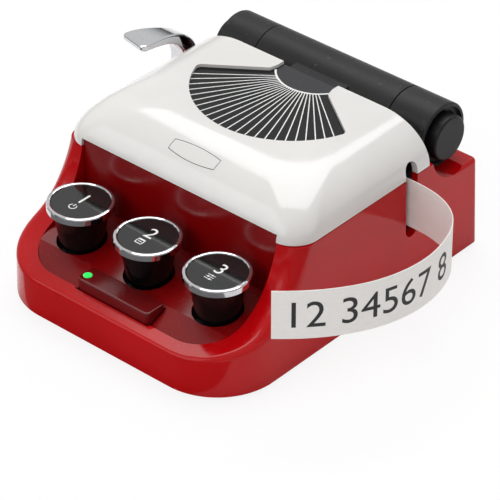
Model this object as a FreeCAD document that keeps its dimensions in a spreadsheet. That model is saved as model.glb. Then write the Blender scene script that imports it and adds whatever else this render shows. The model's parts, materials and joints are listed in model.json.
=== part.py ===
import FreeCAD, Part
import Sketcher
import math
import os

# Desk label maker styled as a small typewriter. Millimetres.
# X to the right, Y to the back, Z up, origin on the resting face under the middle of the body.

os.makedirs("parts", exist_ok=True)
doc = FreeCAD.newDocument("LabelMaker")
sheet = doc.addObject("Spreadsheet::Sheet", "Sizes")
vec = FreeCAD.Vector
rows = []


class Dim:
    """A length that knows its number and the words it is worked out from."""

    def __init__(self, number, words):
        self.number = float(number)
        self.words = words

    def __float__(self):
        return self.number

    def __add__(self, other):
        return Dim(self.number + num(other), "(%s + %s)" % (self.words, wording(other)))

    def __radd__(self, other):
        return Dim(num(other) + self.number, "(%s + %s)" % (wording(other), self.words))

    def __sub__(self, other):
        return Dim(self.number - num(other), "(%s - %s)" % (self.words, wording(other)))

    def __rsub__(self, other):
        return Dim(num(other) - self.number, "(%s - %s)" % (wording(other), self.words))

    def __mul__(self, other):
        return Dim(self.number * num(other), "(%s * %s)" % (self.words, wording(other)))

    def __rmul__(self, other):
        return Dim(num(other) * self.number, "(%s * %s)" % (wording(other), self.words))

    def __truediv__(self, other):
        return Dim(self.number / num(other), "(%s / %s)" % (self.words, wording(other)))

    def __neg__(self):
        return Dim(-self.number, "(0 - %s)" % self.words)


def num(value):
    return float(value)


def wording(value):
    if isinstance(value, Dim):
        return value.words
    return "(%.6f)" % value


def size(name, number):
    rows.append(name)
    cell = "B%d" % len(rows)
    sheet.set("A%d" % len(rows), name)
    sheet.set(cell, str(number))
    sheet.setAlias(cell, name)
    return Dim(number, "Sizes." + name)


def bind(thing, prop, value):
    if isinstance(value, Dim):
        thing.setExpression(prop, value.words)
    else:
        setattr(thing, prop, value)


def place(thing, x, y, z, rotation=None):
    """Puts a piece at a point, each coordinate tied to the sheet."""
    if rotation is None:
        rotation = FreeCAD.Rotation()
    thing.Placement = FreeCAD.Placement(vec(num(x), num(y), num(z)), rotation)
    for letter, value in (("x", x), ("y", y), ("z", z)):
        if isinstance(value, Dim):
            thing.setExpression("Placement.Base." + letter, value.words)


along = {
    "x": FreeCAD.Rotation(vec(0, 1, 0), 90),
    "y": FreeCAD.Rotation(vec(1, 0, 0), -90),
    "z": FreeCAD.Rotation(),
}


def box(name, x, y, z):
    """A block from three (low, high) pairs."""
    piece = doc.addObject("Part::Box", name)
    for prop, (low, high) in (("Length", x), ("Width", y), ("Height", z)):
        bind(piece, prop, high - low)
    place(piece, x[0], y[0], z[0])
    return piece


def rod(name, axis, x, y, z, radius, length):
    """A round bar that starts at a point and runs along one axis."""
    piece = doc.addObject("Part::Cylinder", name)
    bind(piece, "Radius", radius)
    bind(piece, "Height", length)
    place(piece, x, y, z, along[axis])
    return piece


def join(name, *pieces):
    piece = doc.addObject("Part::MultiFuse", name)
    piece.Shapes = list(pieces)
    piece.Refine = True
    return piece


def cut(name, base, *tools):
    tool = tools[0]
    if len(tools) > 1:
        tool = join(name + "_tools", *tools)
    piece = doc.addObject("Part::Cut", name)
    piece.Base = base
    piece.Tool = tool
    piece.Refine = True
    return piece


def overlap(name, *pieces):
    piece = doc.addObject("Part::MultiCommon", name)
    piece.Shapes = list(pieces)
    piece.Refine = True
    return piece


def shaped(name, shape):
    """A piece whose outline is too free for blocks and rods."""
    piece = doc.addObject("Part::Feature", name)
    piece.Shape = shape
    piece.Placement = FreeCAD.Placement()
    return piece


def plane_of(body, role):
    for item in body.Origin.OriginFeatures:
        if item.Role == role:
            return item
    return None


def outline_sketch(body, name, role, points):
    """A closed outline in one of the body's own planes, every corner tied to the sheet."""
    sketch = body.newObject("Sketcher::SketchObject", name)
    sketch.AttachmentSupport = [(plane_of(body, role), "")]
    sketch.MapMode = "FlatFace"
    corners = [vec(num(u), num(v), 0) for u, v in points]
    count = len(corners)
    for index in range(count):
        sketch.addGeometry(Part.LineSegment(corners[index], corners[(index + 1) % count]), False)
    for index in range(count):
        sketch.addConstraint(Sketcher.Constraint("Coincident", index, 2, (index + 1) % count, 1))
    for index in range(count):
        for kind, value in (("DistanceX", points[index][0]), ("DistanceY", points[index][1])):
            if abs(num(value)) < 1e-9:
                target = -2 if kind == "DistanceX" else -1
                sketch.addConstraint(Sketcher.Constraint("PointOnObject", index, 1, target))
                continue
            number = sketch.addConstraint(Sketcher.Constraint(kind, -1, 1, index, 1, num(value)))
            if isinstance(value, Dim):
                sketch.setExpression("Constraints[%d]" % number, value.words)
    return sketch


def turned(name, x, y, z, rotation, points):
    """A turned piece: (radius, height) corners spun about the piece's own upright axis."""
    body = doc.addObject("PartDesign::Body", name)
    sketch = outline_sketch(body, name + "_profile", "XZ_Plane", points)
    spin = body.newObject("PartDesign::Revolution", name + "_turn")
    spin.Profile = sketch
    spin.ReferenceAxis = (sketch, ["V_Axis"])
    spin.Angle = 360
    place(body, x, y, z, rotation)
    return body


def padded(name, role, points, length, x=0, y=0, z=0):
    """A sawn piece: a flat outline given an even thickness."""
    body = doc.addObject("PartDesign::Body", name)
    sketch = outline_sketch(body, name + "_profile", role, points)
    pad = body.newObject("PartDesign::Pad", name + "_pad")
    pad.Profile = sketch
    bind(pad, "Length", length)
    place(body, x, y, z)
    return body


def rounded_plan(half_width, front, back, front_radius, back_radius, height):
    """A flat outline with round front and back corners, left-right even."""
    w, f, b = num(half_width), num(front), num(back)
    rf, rb = num(front_radius), num(back_radius)
    h = num(height)
    s = math.sqrt(0.5)
    edges = [
        Part.makeLine(vec(-w + rf, f, h), vec(w - rf, f, h)),
        Part.Arc(vec(w - rf, f, h), vec(w - rf + rf * s, f + rf - rf * s, h), vec(w, f + rf, h)).toShape(),
        Part.makeLine(vec(w, f + rf, h), vec(w, b - rb, h)),
        Part.Arc(vec(w, b - rb, h), vec(w - rb + rb * s, b - rb + rb * s, h), vec(w - rb, b, h)).toShape(),
        Part.makeLine(vec(w - rb, b, h), vec(-w + rb, b, h)),
        Part.Arc(vec(-w + rb, b, h), vec(-w + rb - rb * s, b - rb + rb * s, h), vec(-w, b - rb, h)).toShape(),
        Part.makeLine(vec(-w, b - rb, h), vec(-w, f + rf, h)),
        Part.Arc(vec(-w, f + rf, h), vec(-w + rf - rf * s, f + rf - rf * s, h), vec(-w + rf, f, h)).toShape(),
    ]
    return Part.Wire(edges)


def prism(wire, x, y, z):
    return Part.Face(wire).extrude(vec(num(x), num(y), num(z)))




# ---- shared sizes ----
body_width = size("body_width", 92)
body_length = size("body_length", 113.4)
wall = size("wall", 2.4)
draft = size("wall_draft", 1)
mat_thick = size("mat_thick", 1)
front_corner = size("front_corner", 20.6)
rear_corner = size("rear_corner", 1.8)
wall_top = size("wall_top", 38.3)
rear_top = size("rear_top", 30.5)
running = size("running_clearance", 0.05)
gap = size("moving_gap", 0.3)
plate_thick = size("plate_thick", 1.8)

half_body = body_width / 2
front = -(body_length / 2)
back = body_length / 2
inner_half = half_body - draft - wall + 0.2
inner_front = front + wall + 0.4
inner_back = back - draft - wall

# Roller, which is also the hinge of the cover.
hinge_y = back - size("hinge_inset", 11.1)
hinge_z = size("hinge_height", 40.8)
roller_radius = size("roller_radius", 10.1)
roller_half = half_body - size("roller_inset", 6.1)
seam_x = roller_half - size("barrel_span", 14.2)
saddle_radius = roller_radius + 0.9
axle_radius = size("axle_radius", 2.5)

# Front sweep of the cheeks: how far back and how high the rim line passes.
rim_height = size("rim_height", 12.6)
lip_y = front + size("lip_setback", 32.1)
sweep_two_y = front + size("sweep_two_setback", 11.5)
sweep_two_z = size("sweep_two_high", 15.9)
sweep_three_y = front + size("sweep_three_setback", 22.9)
sweep_three_z = size("sweep_three_high", 21.2)
sweep_four_y = front + size("sweep_four_setback", 28.2)
sweep_four_z = size("sweep_four_high", 28)

# Tray with the keys.
tray_half = half_body - size("tray_inset", 8.8)
tray_front = front + size("tray_rim", 4.6)
tray_corner = size("tray_corner", 13.5)
ledge = size("tray_ledge", 1.6)
panel_y = lip_y + size("panel_setback", 0.6)
panel_top = size("panel_top", 40.3)
deck_front_z = size("deck_front_height", 13)
deck_bend_y = front + size("deck_bend_setback", 12.5)
deck_bend_z = size("deck_bend_height", 16.4)
deck_back_z = size("deck_back_height", 19.6)
key_y = front + size("key_setback", 19.7)
key_pitch = tray_half - size("key_inset", 10.9)
key_top = size("key_top", 30.45)
ring_radius = size("ring_radius", 9.94)
key_travel = size("key_travel", 1.8)
bar_half = size("bar_half_width", 13.8)
bar_front = front + size("bar_setback", 4.3)
bar_back = bar_front + size("bar_depth", 7)
bar_top = size("bar_top", 17.7)
bar_travel = size("bar_travel", 1)

# Tape path.
tape_y = back - size("tape_inset", 32.4)
tape_low = size("tape_bottom", 22.4)
tape_width = size("tape_width", 16)
tape_thick = size("tape_thick", 0.25)
slot_front = tape_y - size("slot_ahead", 1.7)
slot_back = tape_y + size("slot_behind", 3.5)
slot_low = size("slot_bottom", 18.5)
slot_high = size("slot_arch_top", 43.3)

# Cutter.
pivot_y = back - size("pivot_inset", 26.7)
pivot_z = size("lever_pivot_height", 22.5)
shaft_radius = size("lever_shaft_radius", 2.5)

# ---- lower shell ----
low_plan = rounded_plan(half_body, front, back, front_corner, rear_corner, mat_thick)
high_plan = rounded_plan(half_body - draft, front, back - draft, front_corner, rear_corner, wall_top + 2)
block = shaped("shell_block", Part.makeLoft([low_plan, high_plan], True, True))

rim = Part.BSplineCurve()
rim.interpolate([
    vec(0, num(front) - 1, num(rim_height)),
    vec(0, num(sweep_two_y), num(sweep_two_z)),
    vec(0, num(sweep_three_y), num(sweep_three_z)),
    vec(0, num(sweep_four_y), num(sweep_four_z)),
    vec(0, num(lip_y), num(wall_top)),
])
side_points = [
    (lip_y, wall_top), (hinge_y, wall_top), (hinge_y, rear_top),
    (back + 1, rear_top), (back + 1, 0), (front - 1, 0), (front - 1, rim_height),
]
side_edges = [rim.toShape()]
for start, end in zip(side_points[:-1], side_points[1:]):
    side_edges.append(Part.makeLine(vec(0, num(start[0]), num(start[1])), vec(0, num(end[0]), num(end[1]))))
side_face = Part.Face(Part.Wire(side_edges))
side_face.translate(vec(-num(half_body) - 1, 0, 0))
side = shaped("shell_side", side_face.extrude(vec(num(body_width) + 2, 0, 0)))
sculpted = overlap("shell_form", block, side)
doc.recompute()


def edges_near(shape, points):
    """The numbers of the edges whose middles lie nearest to the given points."""
    found = []
    for point in points:
        far = [(edge.CenterOfMass - vec(*[num(c) for c in point])).Length for edge in shape.Edges]
        found.append(far.index(min(far)) + 1)
    return found


def tapered(shape, number, near, far):
    """One edge to round, with the first radius at its front end."""
    edge = shape.Edges[number - 1]
    first = edge.valueAt(edge.FirstParameter).y
    last = edge.valueAt(edge.LastParameter).y
    if first < last:
        return (number, num(near), num(far))
    return (number, num(far), num(near))


def soften(name, base, jobs):
    piece = doc.addObject("Part::Fillet", name)
    piece.Base = base
    piece.Edges = jobs
    base.Visibility = False
    return piece


rim_round = size("rim_round", 1.2)
corner_round = size("corner_round", 3.2)
cheek_round = size("cheek_round", 6)
form = sculpted.Shape
rim_edge, left_corner, right_corner, left_sweep, right_sweep = edges_near(form, [
    (0, front, rim_height), (-half_body + 7.7, front + 7.7, 14.9), (half_body - 7.7, front + 7.7, 14.9),
    (-half_body + 0.7, front + 27.8, 27.8), (half_body - 0.7, front + 27.8, 27.8),
])
rear_round = size("rear_round", 1.3)
rear_side_y = (hinge_y + back) / 2
rear_edges = edges_near(form, [
    (0, back - 0.8, rear_top), (half_body - 0.8, rear_side_y, rear_top),
    (-half_body + 0.8, rear_side_y, rear_top),
    (half_body - 1.3, back - 1.3, rear_top), (-half_body + 1.3, back - 1.3, rear_top),
])
rear_jobs = [(number, num(rear_round), num(rear_round)) for number in rear_edges]
rounded = soften("shell_rounded", sculpted, rear_jobs + [
    tapered(form, rim_edge, rim_round, rim_round),
    tapered(form, left_corner, rim_round, corner_round),
    tapered(form, right_corner, rim_round, corner_round),
    tapered(form, left_sweep, corner_round, cheek_round),
    tapered(form, right_sweep, corner_round, cheek_round),
])

cavity_top = size("cavity_top", 10.3)
main_front = front + size("main_setback", 36.9)
inner_corner = front_corner - wall
low_cavity = shaped("low_cavity", prism(
    rounded_plan(inner_half, inner_front, inner_back, inner_corner, 2, 0), 0, 0, cavity_top))
main_cavity = shaped("main_cavity", prism(
    rounded_plan(inner_half, main_front, inner_back, 1, 2, 0), 0, 0, 60))
deck_low = plate_thick
deck_front_y = tray_front - 1
deck_rear_y = front + size("deck_depth", 36)
over_deck = padded("over_deck", "YZ_Plane", [
    (deck_front_y, deck_front_z - deck_low - 0.3), (deck_bend_y, deck_bend_z - deck_low),
    (deck_rear_y, deck_back_z - deck_low), (main_front + 1, deck_back_z - deck_low),
    (main_front + 1, wall_top + 5), (deck_front_y, wall_top + 5),
], tray_half * 2 + 4, x=-tray_half - 2)
tray_wide = shaped("tray_wide", prism(
    rounded_plan(tray_half, tray_front, main_front + 1, tray_corner, 0.5, 5), 0, 0, 50))
tray_upper = overlap("tray_upper", tray_wide, over_deck)
tray_lower = shaped("tray_lower", prism(
    rounded_plan(tray_half - ledge, tray_front + ledge, main_front + 1, tray_corner - ledge, 0.5, 5),
    0, 0, 50))
bar_gap = size("bar_gap", 0.35)
bar_notch = box("bar_notch", (-bar_half - bar_gap, bar_half + bar_gap),
                (bar_front - bar_gap, bar_back), (cavity_top - 1, wall_top))

trough_radius = saddle_radius + 1.6
trough = overlap(
    "trough_arc",
    rod("trough_round", "x", -inner_half - 0.5, hinge_y, hinge_z, trough_radius, inner_half * 2 + 1),
    box("trough_limit", (-inner_half - 0.5, inner_half + 0.5), (main_front, hinge_y + 4), (5, wall_top)))
rear_deck = box("rear_deck", (-inner_half - 0.5, inner_half + 0.5),
                (hinge_y, inner_back + 0.5), (rear_top - 2, rear_top))
saddle = rod("saddle", "x", -half_body - 2, hinge_y, hinge_z, saddle_radius, body_width + 4)

plate_top = mat_thick + plate_thick
boss_radius = size("boss_radius", 3.2)
screw_radius = size("screw_radius", 1.25)
screw_x = half_body - size("screw_inset", 8.5)
front_screw_y = front + size("front_screw_setback", 18.7)
rear_screw_y = back - size("rear_screw_inset", 16.7)
bosses = []
screw_holes = []
screws = []
mat_holes = []
plate_holes = []
for index, (sx, sy, top) in enumerate([
    (-screw_x, front_screw_y, cavity_top + 0.5), (screw_x, front_screw_y, cavity_top + 0.5),
    (-screw_x, rear_screw_y, rear_top - 0.6), (screw_x, rear_screw_y, rear_top - 0.6),
]):
    tag = str(index)
    bosses.append(rod("boss" + tag, "z", sx, sy, plate_top, boss_radius, top - plate_top))
    screw_holes.append(rod("screw_hole" + tag, "z", sx, sy, 0, screw_radius, plate_top + 6.6))
    head = rod("screw_head" + tag, "z", sx, sy, mat_thick + 0.1, 2.6, 1.2)
    drive = rod("screw_drive" + tag, "z", sx, sy, mat_thick, 1.1, 0.8)
    shank = rod("screw_shank" + tag, "z", sx, sy, mat_thick + 1.3, screw_radius, plate_top + 4)
    screws.append(cut("screw" + tag, join("screw_body" + tag, head, shank), drive))
    mat_holes.append(rod("mat_hole" + tag, "z", sx, sy, -1, 3, 3))
    plate_holes.append(rod("plate_hole" + tag, "z", sx, sy, 0, 2.75, mat_thick + 1.3))
    plate_holes.append(rod("plate_bore" + tag, "z", sx, sy, 0, 1.5, 5))

slot_half = (slot_back - slot_front) / 2
slot_mid = (slot_back + slot_front) / 2
tape_slot = join(
    "tape_slot",
    box("tape_slot_side", (inner_half - 4, half_body + 2), (slot_front, slot_back),
        (slot_low + slot_half, wall_top + 3)),
    rod("tape_slot_foot", "x", inner_half - 4, slot_mid, slot_low + slot_half, slot_half, 10))
lever_bore = rod("lever_bore", "x", -half_body - 2, pivot_y, pivot_z, shaft_radius + running, 10)
usb_half = size("usb_half_width", 4.5)
usb_low = size("usb_bottom", 6.6)
usb_high = size("usb_top", 9.8)
usb_hole = box("usb_hole", (-usb_half - 0.3, usb_half + 0.3), (inner_back - 2, back + 2),
               (usb_low - 0.3, usb_high + 0.3))

hollow = cut("shell_hollow", rounded, low_cavity, main_cavity, tray_upper, tray_lower, bar_notch)
filled = join("shell_filled", hollow, trough, rear_deck, *bosses)
base_shell = cut("base_shell", filled, saddle, tape_slot, lever_bore, usb_hole, *screw_holes)
doc.recompute()

# ---- underside ----
mat_half = half_body - wall
grip_mat = cut("grip_mat", shaped("mat_sheet", prism(
    rounded_plan(mat_half, front + wall, back - wall, inner_corner, 2, 0), 0, 0, mat_thick)), *mat_holes)
plate_sheet = shaped("plate_sheet", prism(
    rounded_plan(inner_half - gap, inner_front + gap, inner_back - gap, inner_corner, 2, mat_thick),
    0, 0, plate_thick))
post_radius = size("post_radius", 2.2)
board_low = size("main_board_bottom", 5)
key_board_low = size("key_board_bottom", 4.2)
board_thick = size("board_thick", 1.4)
board_half = screw_x - boss_radius - 0.8
key_board_half = tray_half - 9.2
posts = []
for sx in (-1, 1):
    for sy in (front + 46.7, back - 14.7):
        posts.append(rod("board_post", "z", (board_half - 3.5) * sx, sy, plate_top - 0.5, post_radius,
                         board_low - plate_top + 0.5))
    for sy in (front + 11.7, front + 30.7):
        posts.append(rod("key_post", "z", (key_board_half - 5) * sx, sy, plate_top - 0.5, post_radius,
                         key_board_low - plate_top + 0.5))
bottom_plate = cut("bottom_plate", join("plate_and_posts", plate_sheet, *posts), *plate_holes)
bottom_screws = join("bottom_screws", *screws)

# ---- key deck, with the upright panel under the cover's lip ----
deck_plan = shaped("deck_plan", prism(
    rounded_plan(tray_half - 0.1, tray_front + 0.1, deck_rear_y, tray_corner - 0.1, 0.5, 5), 0, 0, 50))
deck_band = padded("deck_band", "YZ_Plane", [
    (deck_front_y, deck_front_z - 0.3), (deck_bend_y, deck_bend_z), (deck_rear_y, deck_back_z),
    (deck_rear_y, deck_back_z - deck_low), (deck_bend_y, deck_bend_z - deck_low),
    (deck_front_y, deck_front_z - deck_low - 0.3),
], tray_half * 2 + 4, x=-tray_half - 2)
panel_back = panel_y + size("panel_thick", 2.1)
panel = box("panel", (-tray_half + 0.1, tray_half - 0.1), (panel_y, panel_back),
            (deck_back_z - 1.2, panel_top))
panel_rib = box("panel_rib", (-tray_half + 0.1, tray_half - 0.1), (panel_back - 0.5, deck_rear_y),
                (deck_back_z - 1.2, deck_back_z + 1.5))
stem_low_radius = size("stem_low_radius", 6.4)
stem_high_radius = size("stem_high_radius", 8.2)
stem_low = size("stem_bottom", 15.6)
well_radius = size("key_well_radius", 7.45)
wells = []
for column in (-1, 0, 1):
    wells.append(rod("key_well", "z", key_pitch * column, key_y, 8, well_radius, 20))
bar_well = box("bar_well", (-bar_half - bar_gap, bar_half + bar_gap),
               (bar_front - 2, bar_back + bar_gap), (8, bar_top + 8))
key_deck = cut("key_deck", join("deck_body", overlap("deck_slab", deck_plan, deck_band), panel, panel_rib),
               bar_well, *wells)

# ---- key guide, key board, switches ----
guide_low = size("key_guide_bottom", 10.6)
guide_top = size("key_guide_top", 12)
guide_back = front + 33.7
plunger_radius = size("plunger_radius", 2)
bar_plunger_y = bar_front + 3.9
bar_plunger_radius = size("bar_plunger_radius", 1.5)
guide_sheet = shaped("guide_sheet", prism(
    rounded_plan(tray_half - 3.4, tray_front + 1.8, guide_back, tray_corner - 2, 0.5, guide_low),
    0, 0, guide_top - guide_low))
guide_legs = []
for sx in (-1, 1):
    for sy in (front + 13.2, front + 30.2):
        guide_legs.append(rod("guide_leg", "z", (tray_half - 6.2) * sx, sy, plate_top, post_radius,
                              guide_top - plate_top))
guide_bores = []
for column in (-1, 0, 1):
    guide_bores.append(rod("guide_bore", "z", key_pitch * column, key_y, 8, plunger_radius + running, 8))
guide_bores.append(rod("bar_bore", "z", 0, bar_plunger_y, 8, bar_plunger_radius + running, 8))
led_x = 1.9 - bar_half
led_y = bar_front + 2.8
guide_bores.append(rod("light_hole", "z", led_x, led_y, 8, 1.9, 8))
key_guide = cut("key_guide", join("guide_body", guide_sheet, *guide_legs), *guide_bores)

key_board_top = key_board_low + board_thick
key_board = box("key_board", (-key_board_half, key_board_half), (front + 5.9, front + 32.7),
                (key_board_low, key_board_top))
switch_height = size("switch_height", 1.8)
button_top = size("switch_button_top", 8)
switches = []
for column, sy in ((-1, key_y), (0, key_y), (1, key_y), (0, bar_plunger_y)):
    across = key_pitch * column
    switches.append(box("switch_case", (across - 3, across + 3), (sy - 3, sy + 3),
                        (key_board_top, key_board_top + switch_height)))
    switches.append(rod("switch_button", "z", across, sy, key_board_top, 1.6, button_top - key_board_top))
key_switches = join("key_switches", *switches)
status_led = box("status_led", (led_x - 1.6, led_x + 1.6), (led_y - 0.8, led_y + 0.8),
                 (key_board_top, key_board_top + 1.1))

# ---- keys ----
ring_height = size("ring_height", 2.5)
ring_inner = size("ring_inner_radius", 8.7)
face_drop = size("face_drop", 0.35)
face_thick = size("face_thick", 0.9)
cup_roof = size("stem_cup_roof", 24)
spring_wire = size("spring_wire", 0.3)
ring_low = key_top - ring_height
seat = key_top - face_drop - face_thick


def coil(name, x, y, z, radius, height, turns, wire, rotation=None):
    """A wound spring standing on a point."""
    pitch = (height - wire * 2) / turns
    spine = doc.addObject("Part::Helix", name + "_spine")
    bind(spine, "Radius", radius)
    bind(spine, "Pitch", pitch)
    bind(spine, "Height", height - wire * 2)
    ring = doc.addObject("Part::Circle", name + "_wire")
    bind(ring, "Radius", wire)
    ring.Placement = FreeCAD.Placement(vec(num(radius), 0, 0), FreeCAD.Rotation(vec(1, 0, 0), 90))
    bind(ring, "Placement.Base.x", radius)
    sweep = doc.addObject("Part::Sweep", name)
    sweep.Sections = [ring]
    sweep.Spine = (spine, [])
    sweep.Solid = True
    sweep.Frenet = True
    return sweep


def put(name, source, x, y, z, rotation=None):
    """The finished piece, standing in its place."""
    holder = doc.addObject("Part::Compound", name)
    holder.Links = [source]
    place(holder, x, y, z, rotation)
    return holder


finished = {}
plunger_foot = button_top + key_travel + 0.1
stem_profile = [
    (plunger_radius, plunger_foot), (plunger_radius, cup_roof), (stem_low_radius - 1.8, cup_roof),
    (stem_low_radius - 1.8, stem_low), (stem_low_radius - 0.4, stem_low), (stem_low_radius, stem_low + 0.5),
    (stem_high_radius, ring_low), (ring_inner, ring_low), (ring_inner, seat), (0, seat), (0, plunger_foot),
]
ring_profile = [
    (ring_inner, ring_low), (ring_radius - 0.3, ring_low), (ring_radius, ring_low + 0.3),
    (ring_radius, key_top - 0.5), (ring_radius - 0.15, key_top - 0.15), (ring_radius - 0.5, key_top),
    (ring_inner + 0.35, key_top), (ring_inner + 0.1, key_top - 0.1), (ring_inner, key_top - 0.3),
]
face_profile = [
    (0, seat), (ring_inner, seat), (ring_inner, seat + face_thick - 0.15),
    (ring_inner - 0.15, seat + face_thick), (0, seat + face_thick),
]
key_names = ("left", "middle", "right")
for column, side_name in zip((-1, 0, 1), key_names):
    across = key_pitch * column
    for part_name, profile in (("stem", stem_profile), ("ring", ring_profile), ("face", face_profile)):
        label = "%s_key_%s" % (side_name, part_name)
        finished[label] = turned(label, across, key_y, 0, None, profile)
    label = side_name + "_key_spring"
    wound = coil(label + "_wound", 0, 0, 0, plunger_radius + 1.2, cup_roof - guide_top, 6, spring_wire)
    finished[label] = put(label, wound, across, key_y, guide_top + spring_wire)

# ---- space bar and its light ----
bar_low = size("bar_bottom", 13.2)
bar_plan = shaped("bar_plan", prism(
    rounded_plan(bar_half, bar_front, bar_back, 1.6, 0.6, bar_low), 0, 0, bar_top - bar_low))
doc.recompute()
bar_rim = [(0, bar_front, bar_top), (bar_half, (bar_front + bar_back) / 2, bar_top),
           (-bar_half, (bar_front + bar_back) / 2, bar_top), (bar_half, bar_front, bar_top),
           (-bar_half, bar_front, bar_top)]
bar_edges = edges_near(bar_plan.Shape, bar_rim)
bar_round = soften("bar_round", bar_plan, [(number, 0.5, 0.5) for number in bar_edges])
bar_hollow = box("bar_hollow", (-bar_half + 4.2, bar_half - 1.6), (bar_front + 1.3, bar_back - 0.6),
                 (bar_low - 1, bar_top - 1.7))
lens_radius = size("lens_radius", 1.35)
lens_bore = rod("lens_bore", "z", led_x, led_y, bar_low - 1, lens_radius, 8)
bar_plunger = rod("bar_plunger", "z", 0, bar_plunger_y, button_top + bar_travel + 0.15,
                  bar_plunger_radius,
                  bar_top - 1.2 - (button_top + bar_travel + 0.15))
finished["space_bar"] = join("space_bar", cut("bar_shell", bar_round, bar_hollow, lens_bore), bar_plunger)
finished["led_lens"] = rod("led_lens", "z", led_x, led_y, bar_low + 0.2, lens_radius,
                           bar_top - bar_low - 0.15)
bar_coil = coil("bar_spring_wound", 0, 0, 0, bar_plunger_radius + 0.6, bar_top - 1.7 - guide_top, 3,
                spring_wire)
finished["bar_spring"] = put("bar_spring", bar_coil, 0, bar_plunger_y, guide_top + spring_wire)

# ---- chassis ----
chassis_low = size("chassis_bottom", 17)
chassis_top = size("chassis_top", 19)
chassis_back = back - 23.7
chassis_front = front + 39.7
roller_x = half_body - size("drive_roller_inset", 13)
platen_radius = size("platen_radius", 5)
tape_front = tape_y - tape_thick / 2
roller_y = tape_front - gap - platen_radius
roller_shaft_radius = size("drive_shaft_radius", 2)
gear_module = size("gear_module", 0.5)
pinion_teeth = size("pinion_teeth", 12)
idler_teeth = size("idler_teeth", 32)
roller_teeth = size("roller_teeth", 20)
idler_reach = (idler_teeth + roller_teeth) * gear_module / 2
motor_reach = (idler_teeth + pinion_teeth) * gear_module / 2
idler_x = roller_x - 3
idler_y = roller_y - math.sqrt(num(idler_reach) ** 2 - 9)
motor_radius = size("motor_radius", 7.5)
# The motor stands in front of the idler, or beside it when the panel is near.
motor_room = num(idler_y) - num(panel_back) - num(motor_radius) - 0.8
motor_ahead = min(math.sqrt(num(motor_reach) ** 2 - 2.25), motor_room)
motor_x = idler_x - math.sqrt(num(motor_reach) ** 2 - motor_ahead ** 2)
motor_y = idler_y - motor_ahead
motor_shaft_radius = size("motor_shaft_radius", 1)
stud_radius = size("idler_stud_radius", 1.5)
gear_low = size("gear_bottom", 12.5)
gear_thick = size("gear_thick", 3)

chassis_plate_sheet = box("chassis_sheet", (-inner_half + 1, inner_half - 1), (chassis_front, chassis_back),
                          (chassis_low, chassis_top))
chassis_legs = []
for sx in (-1, 1):
    for sy in (chassis_front + 3.5, chassis_back - 4.5):
        chassis_legs.append(rod("chassis_leg", "z", (half_body - 8) * sx, sy, plate_top, 3,
                                chassis_top - plate_top))
ear_blocks = []
for low_x in (7 - half_body, roller_x - 9):
    ear_blocks.append(box("bearing_ear", (low_x, low_x + 3), (pivot_y - 4, chassis_back),
                          (chassis_low, pivot_z + 4)))
idler_stud = rod("idler_stud", "z", idler_x, idler_y, gear_low - 0.6, stud_radius, chassis_top - gear_low)
chassis_plate = cut(
    "chassis_plate",
    join("chassis_body", chassis_plate_sheet, idler_stud, *(chassis_legs + ear_blocks)),
    rod("ear_bore", "x", 5 - half_body, pivot_y, pivot_z, shaft_radius + running, body_width - 17),
    rod("roller_bore", "z", roller_x, roller_y, 10, roller_shaft_radius + running, 15),
    rod("motor_hole", "z", motor_x, motor_y, 10, motor_shaft_radius + 0.8, 15))

# ---- electronics ----
board_top = board_low + board_thick
main_board = join(
    "main_board",
    box("board_sheet", (-board_half, board_half), (front + 40.7, back - 4.7), (board_low, board_top)),
    box("processor", (6, 16), (8, 18), (board_top - 0.2, board_top + 1)),
    box("radio_module", (board_half - 15.5, board_half - 2.5), (18, 34), (board_top - 0.2, board_top + 1.6)),
    box("motor_driver", (8, 13), (-8, -2), (board_top - 0.2, board_top + 0.9)),
    box("battery_header", (0.5 - board_half, 6.5 - board_half), (back - 22.7, back - 17.7),
        (board_top - 0.2, board_top + 4)))
battery_cell = box("battery_cell", (0.5 - board_half, 0), (front + 43.7, back - 25.7),
                   (board_top, board_top + 6.2))
usb_back = back - size("usb_setback", 1.3)
usb_front = usb_back - 8.4
usb_shell = box("usb_shell", (-usb_half, usb_half), (usb_front, usb_back), (board_top, usb_high))
usb_mouth = box("usb_mouth", (-usb_half + 0.4, usb_half - 0.4), (usb_front + 2, usb_back + 1),
                (board_top + 0.4, usb_high - 0.4))
usb_tongue = box("usb_tongue", (-3.2, 3.2), (usb_front + 1, usb_back - 1),
                 (board_top + 1.35, usb_high - 1.35))
usb_socket = join("usb_socket", cut("usb_case", usb_shell, usb_mouth), usb_tongue)

# ---- printing ----
motor_top = size("motor_top", 37)
drive_motor = cut(
    "drive_motor",
    join("motor_can",
         rod("motor_case", "z", motor_x, motor_y, chassis_top, motor_radius, motor_top - chassis_top),
         rod("motor_cap", "z", motor_x, motor_y, motor_top - 1, 3, 2)),
    rod("motor_bore", "z", motor_x, motor_y, 18, motor_shaft_radius + running, 8))


def gear_outline(teeth, phase, centre_x, centre_y):
    """Outline of a spur gear with involute flanks and a little backlash."""
    module = num(gear_module)
    count = int(num(teeth))
    pitch = module * count / 2
    base = pitch * math.cos(math.radians(20))
    tip = pitch + module * 0.95
    root = pitch - module * 1.25
    start = max(base, root)
    involute = math.tan(math.radians(20)) - math.radians(20)
    half_tooth = math.pi / 2 / count - 0.035 / pitch
    corners = []
    for tooth in range(count):
        middle = phase + 2 * math.pi * tooth / count
        left = []
        for step in range(5):
            radius = start + (tip - start) * step / 4
            roll = math.acos(min(1, base / radius))
            half = half_tooth + involute - (math.tan(roll) - roll)
            left.append((radius, half))
        foot = left[0][1]
        spread = [(root, foot)] + left
        for radius, half in spread:
            corners.append((radius, middle - half))
        for radius, half in reversed(spread):
            corners.append((radius, middle + half))
    points = [vec(centre_x + r * math.cos(a), centre_y + r * math.sin(a), 0) for r, a in corners]
    return Part.makePolygon(points + [points[0]])


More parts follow.
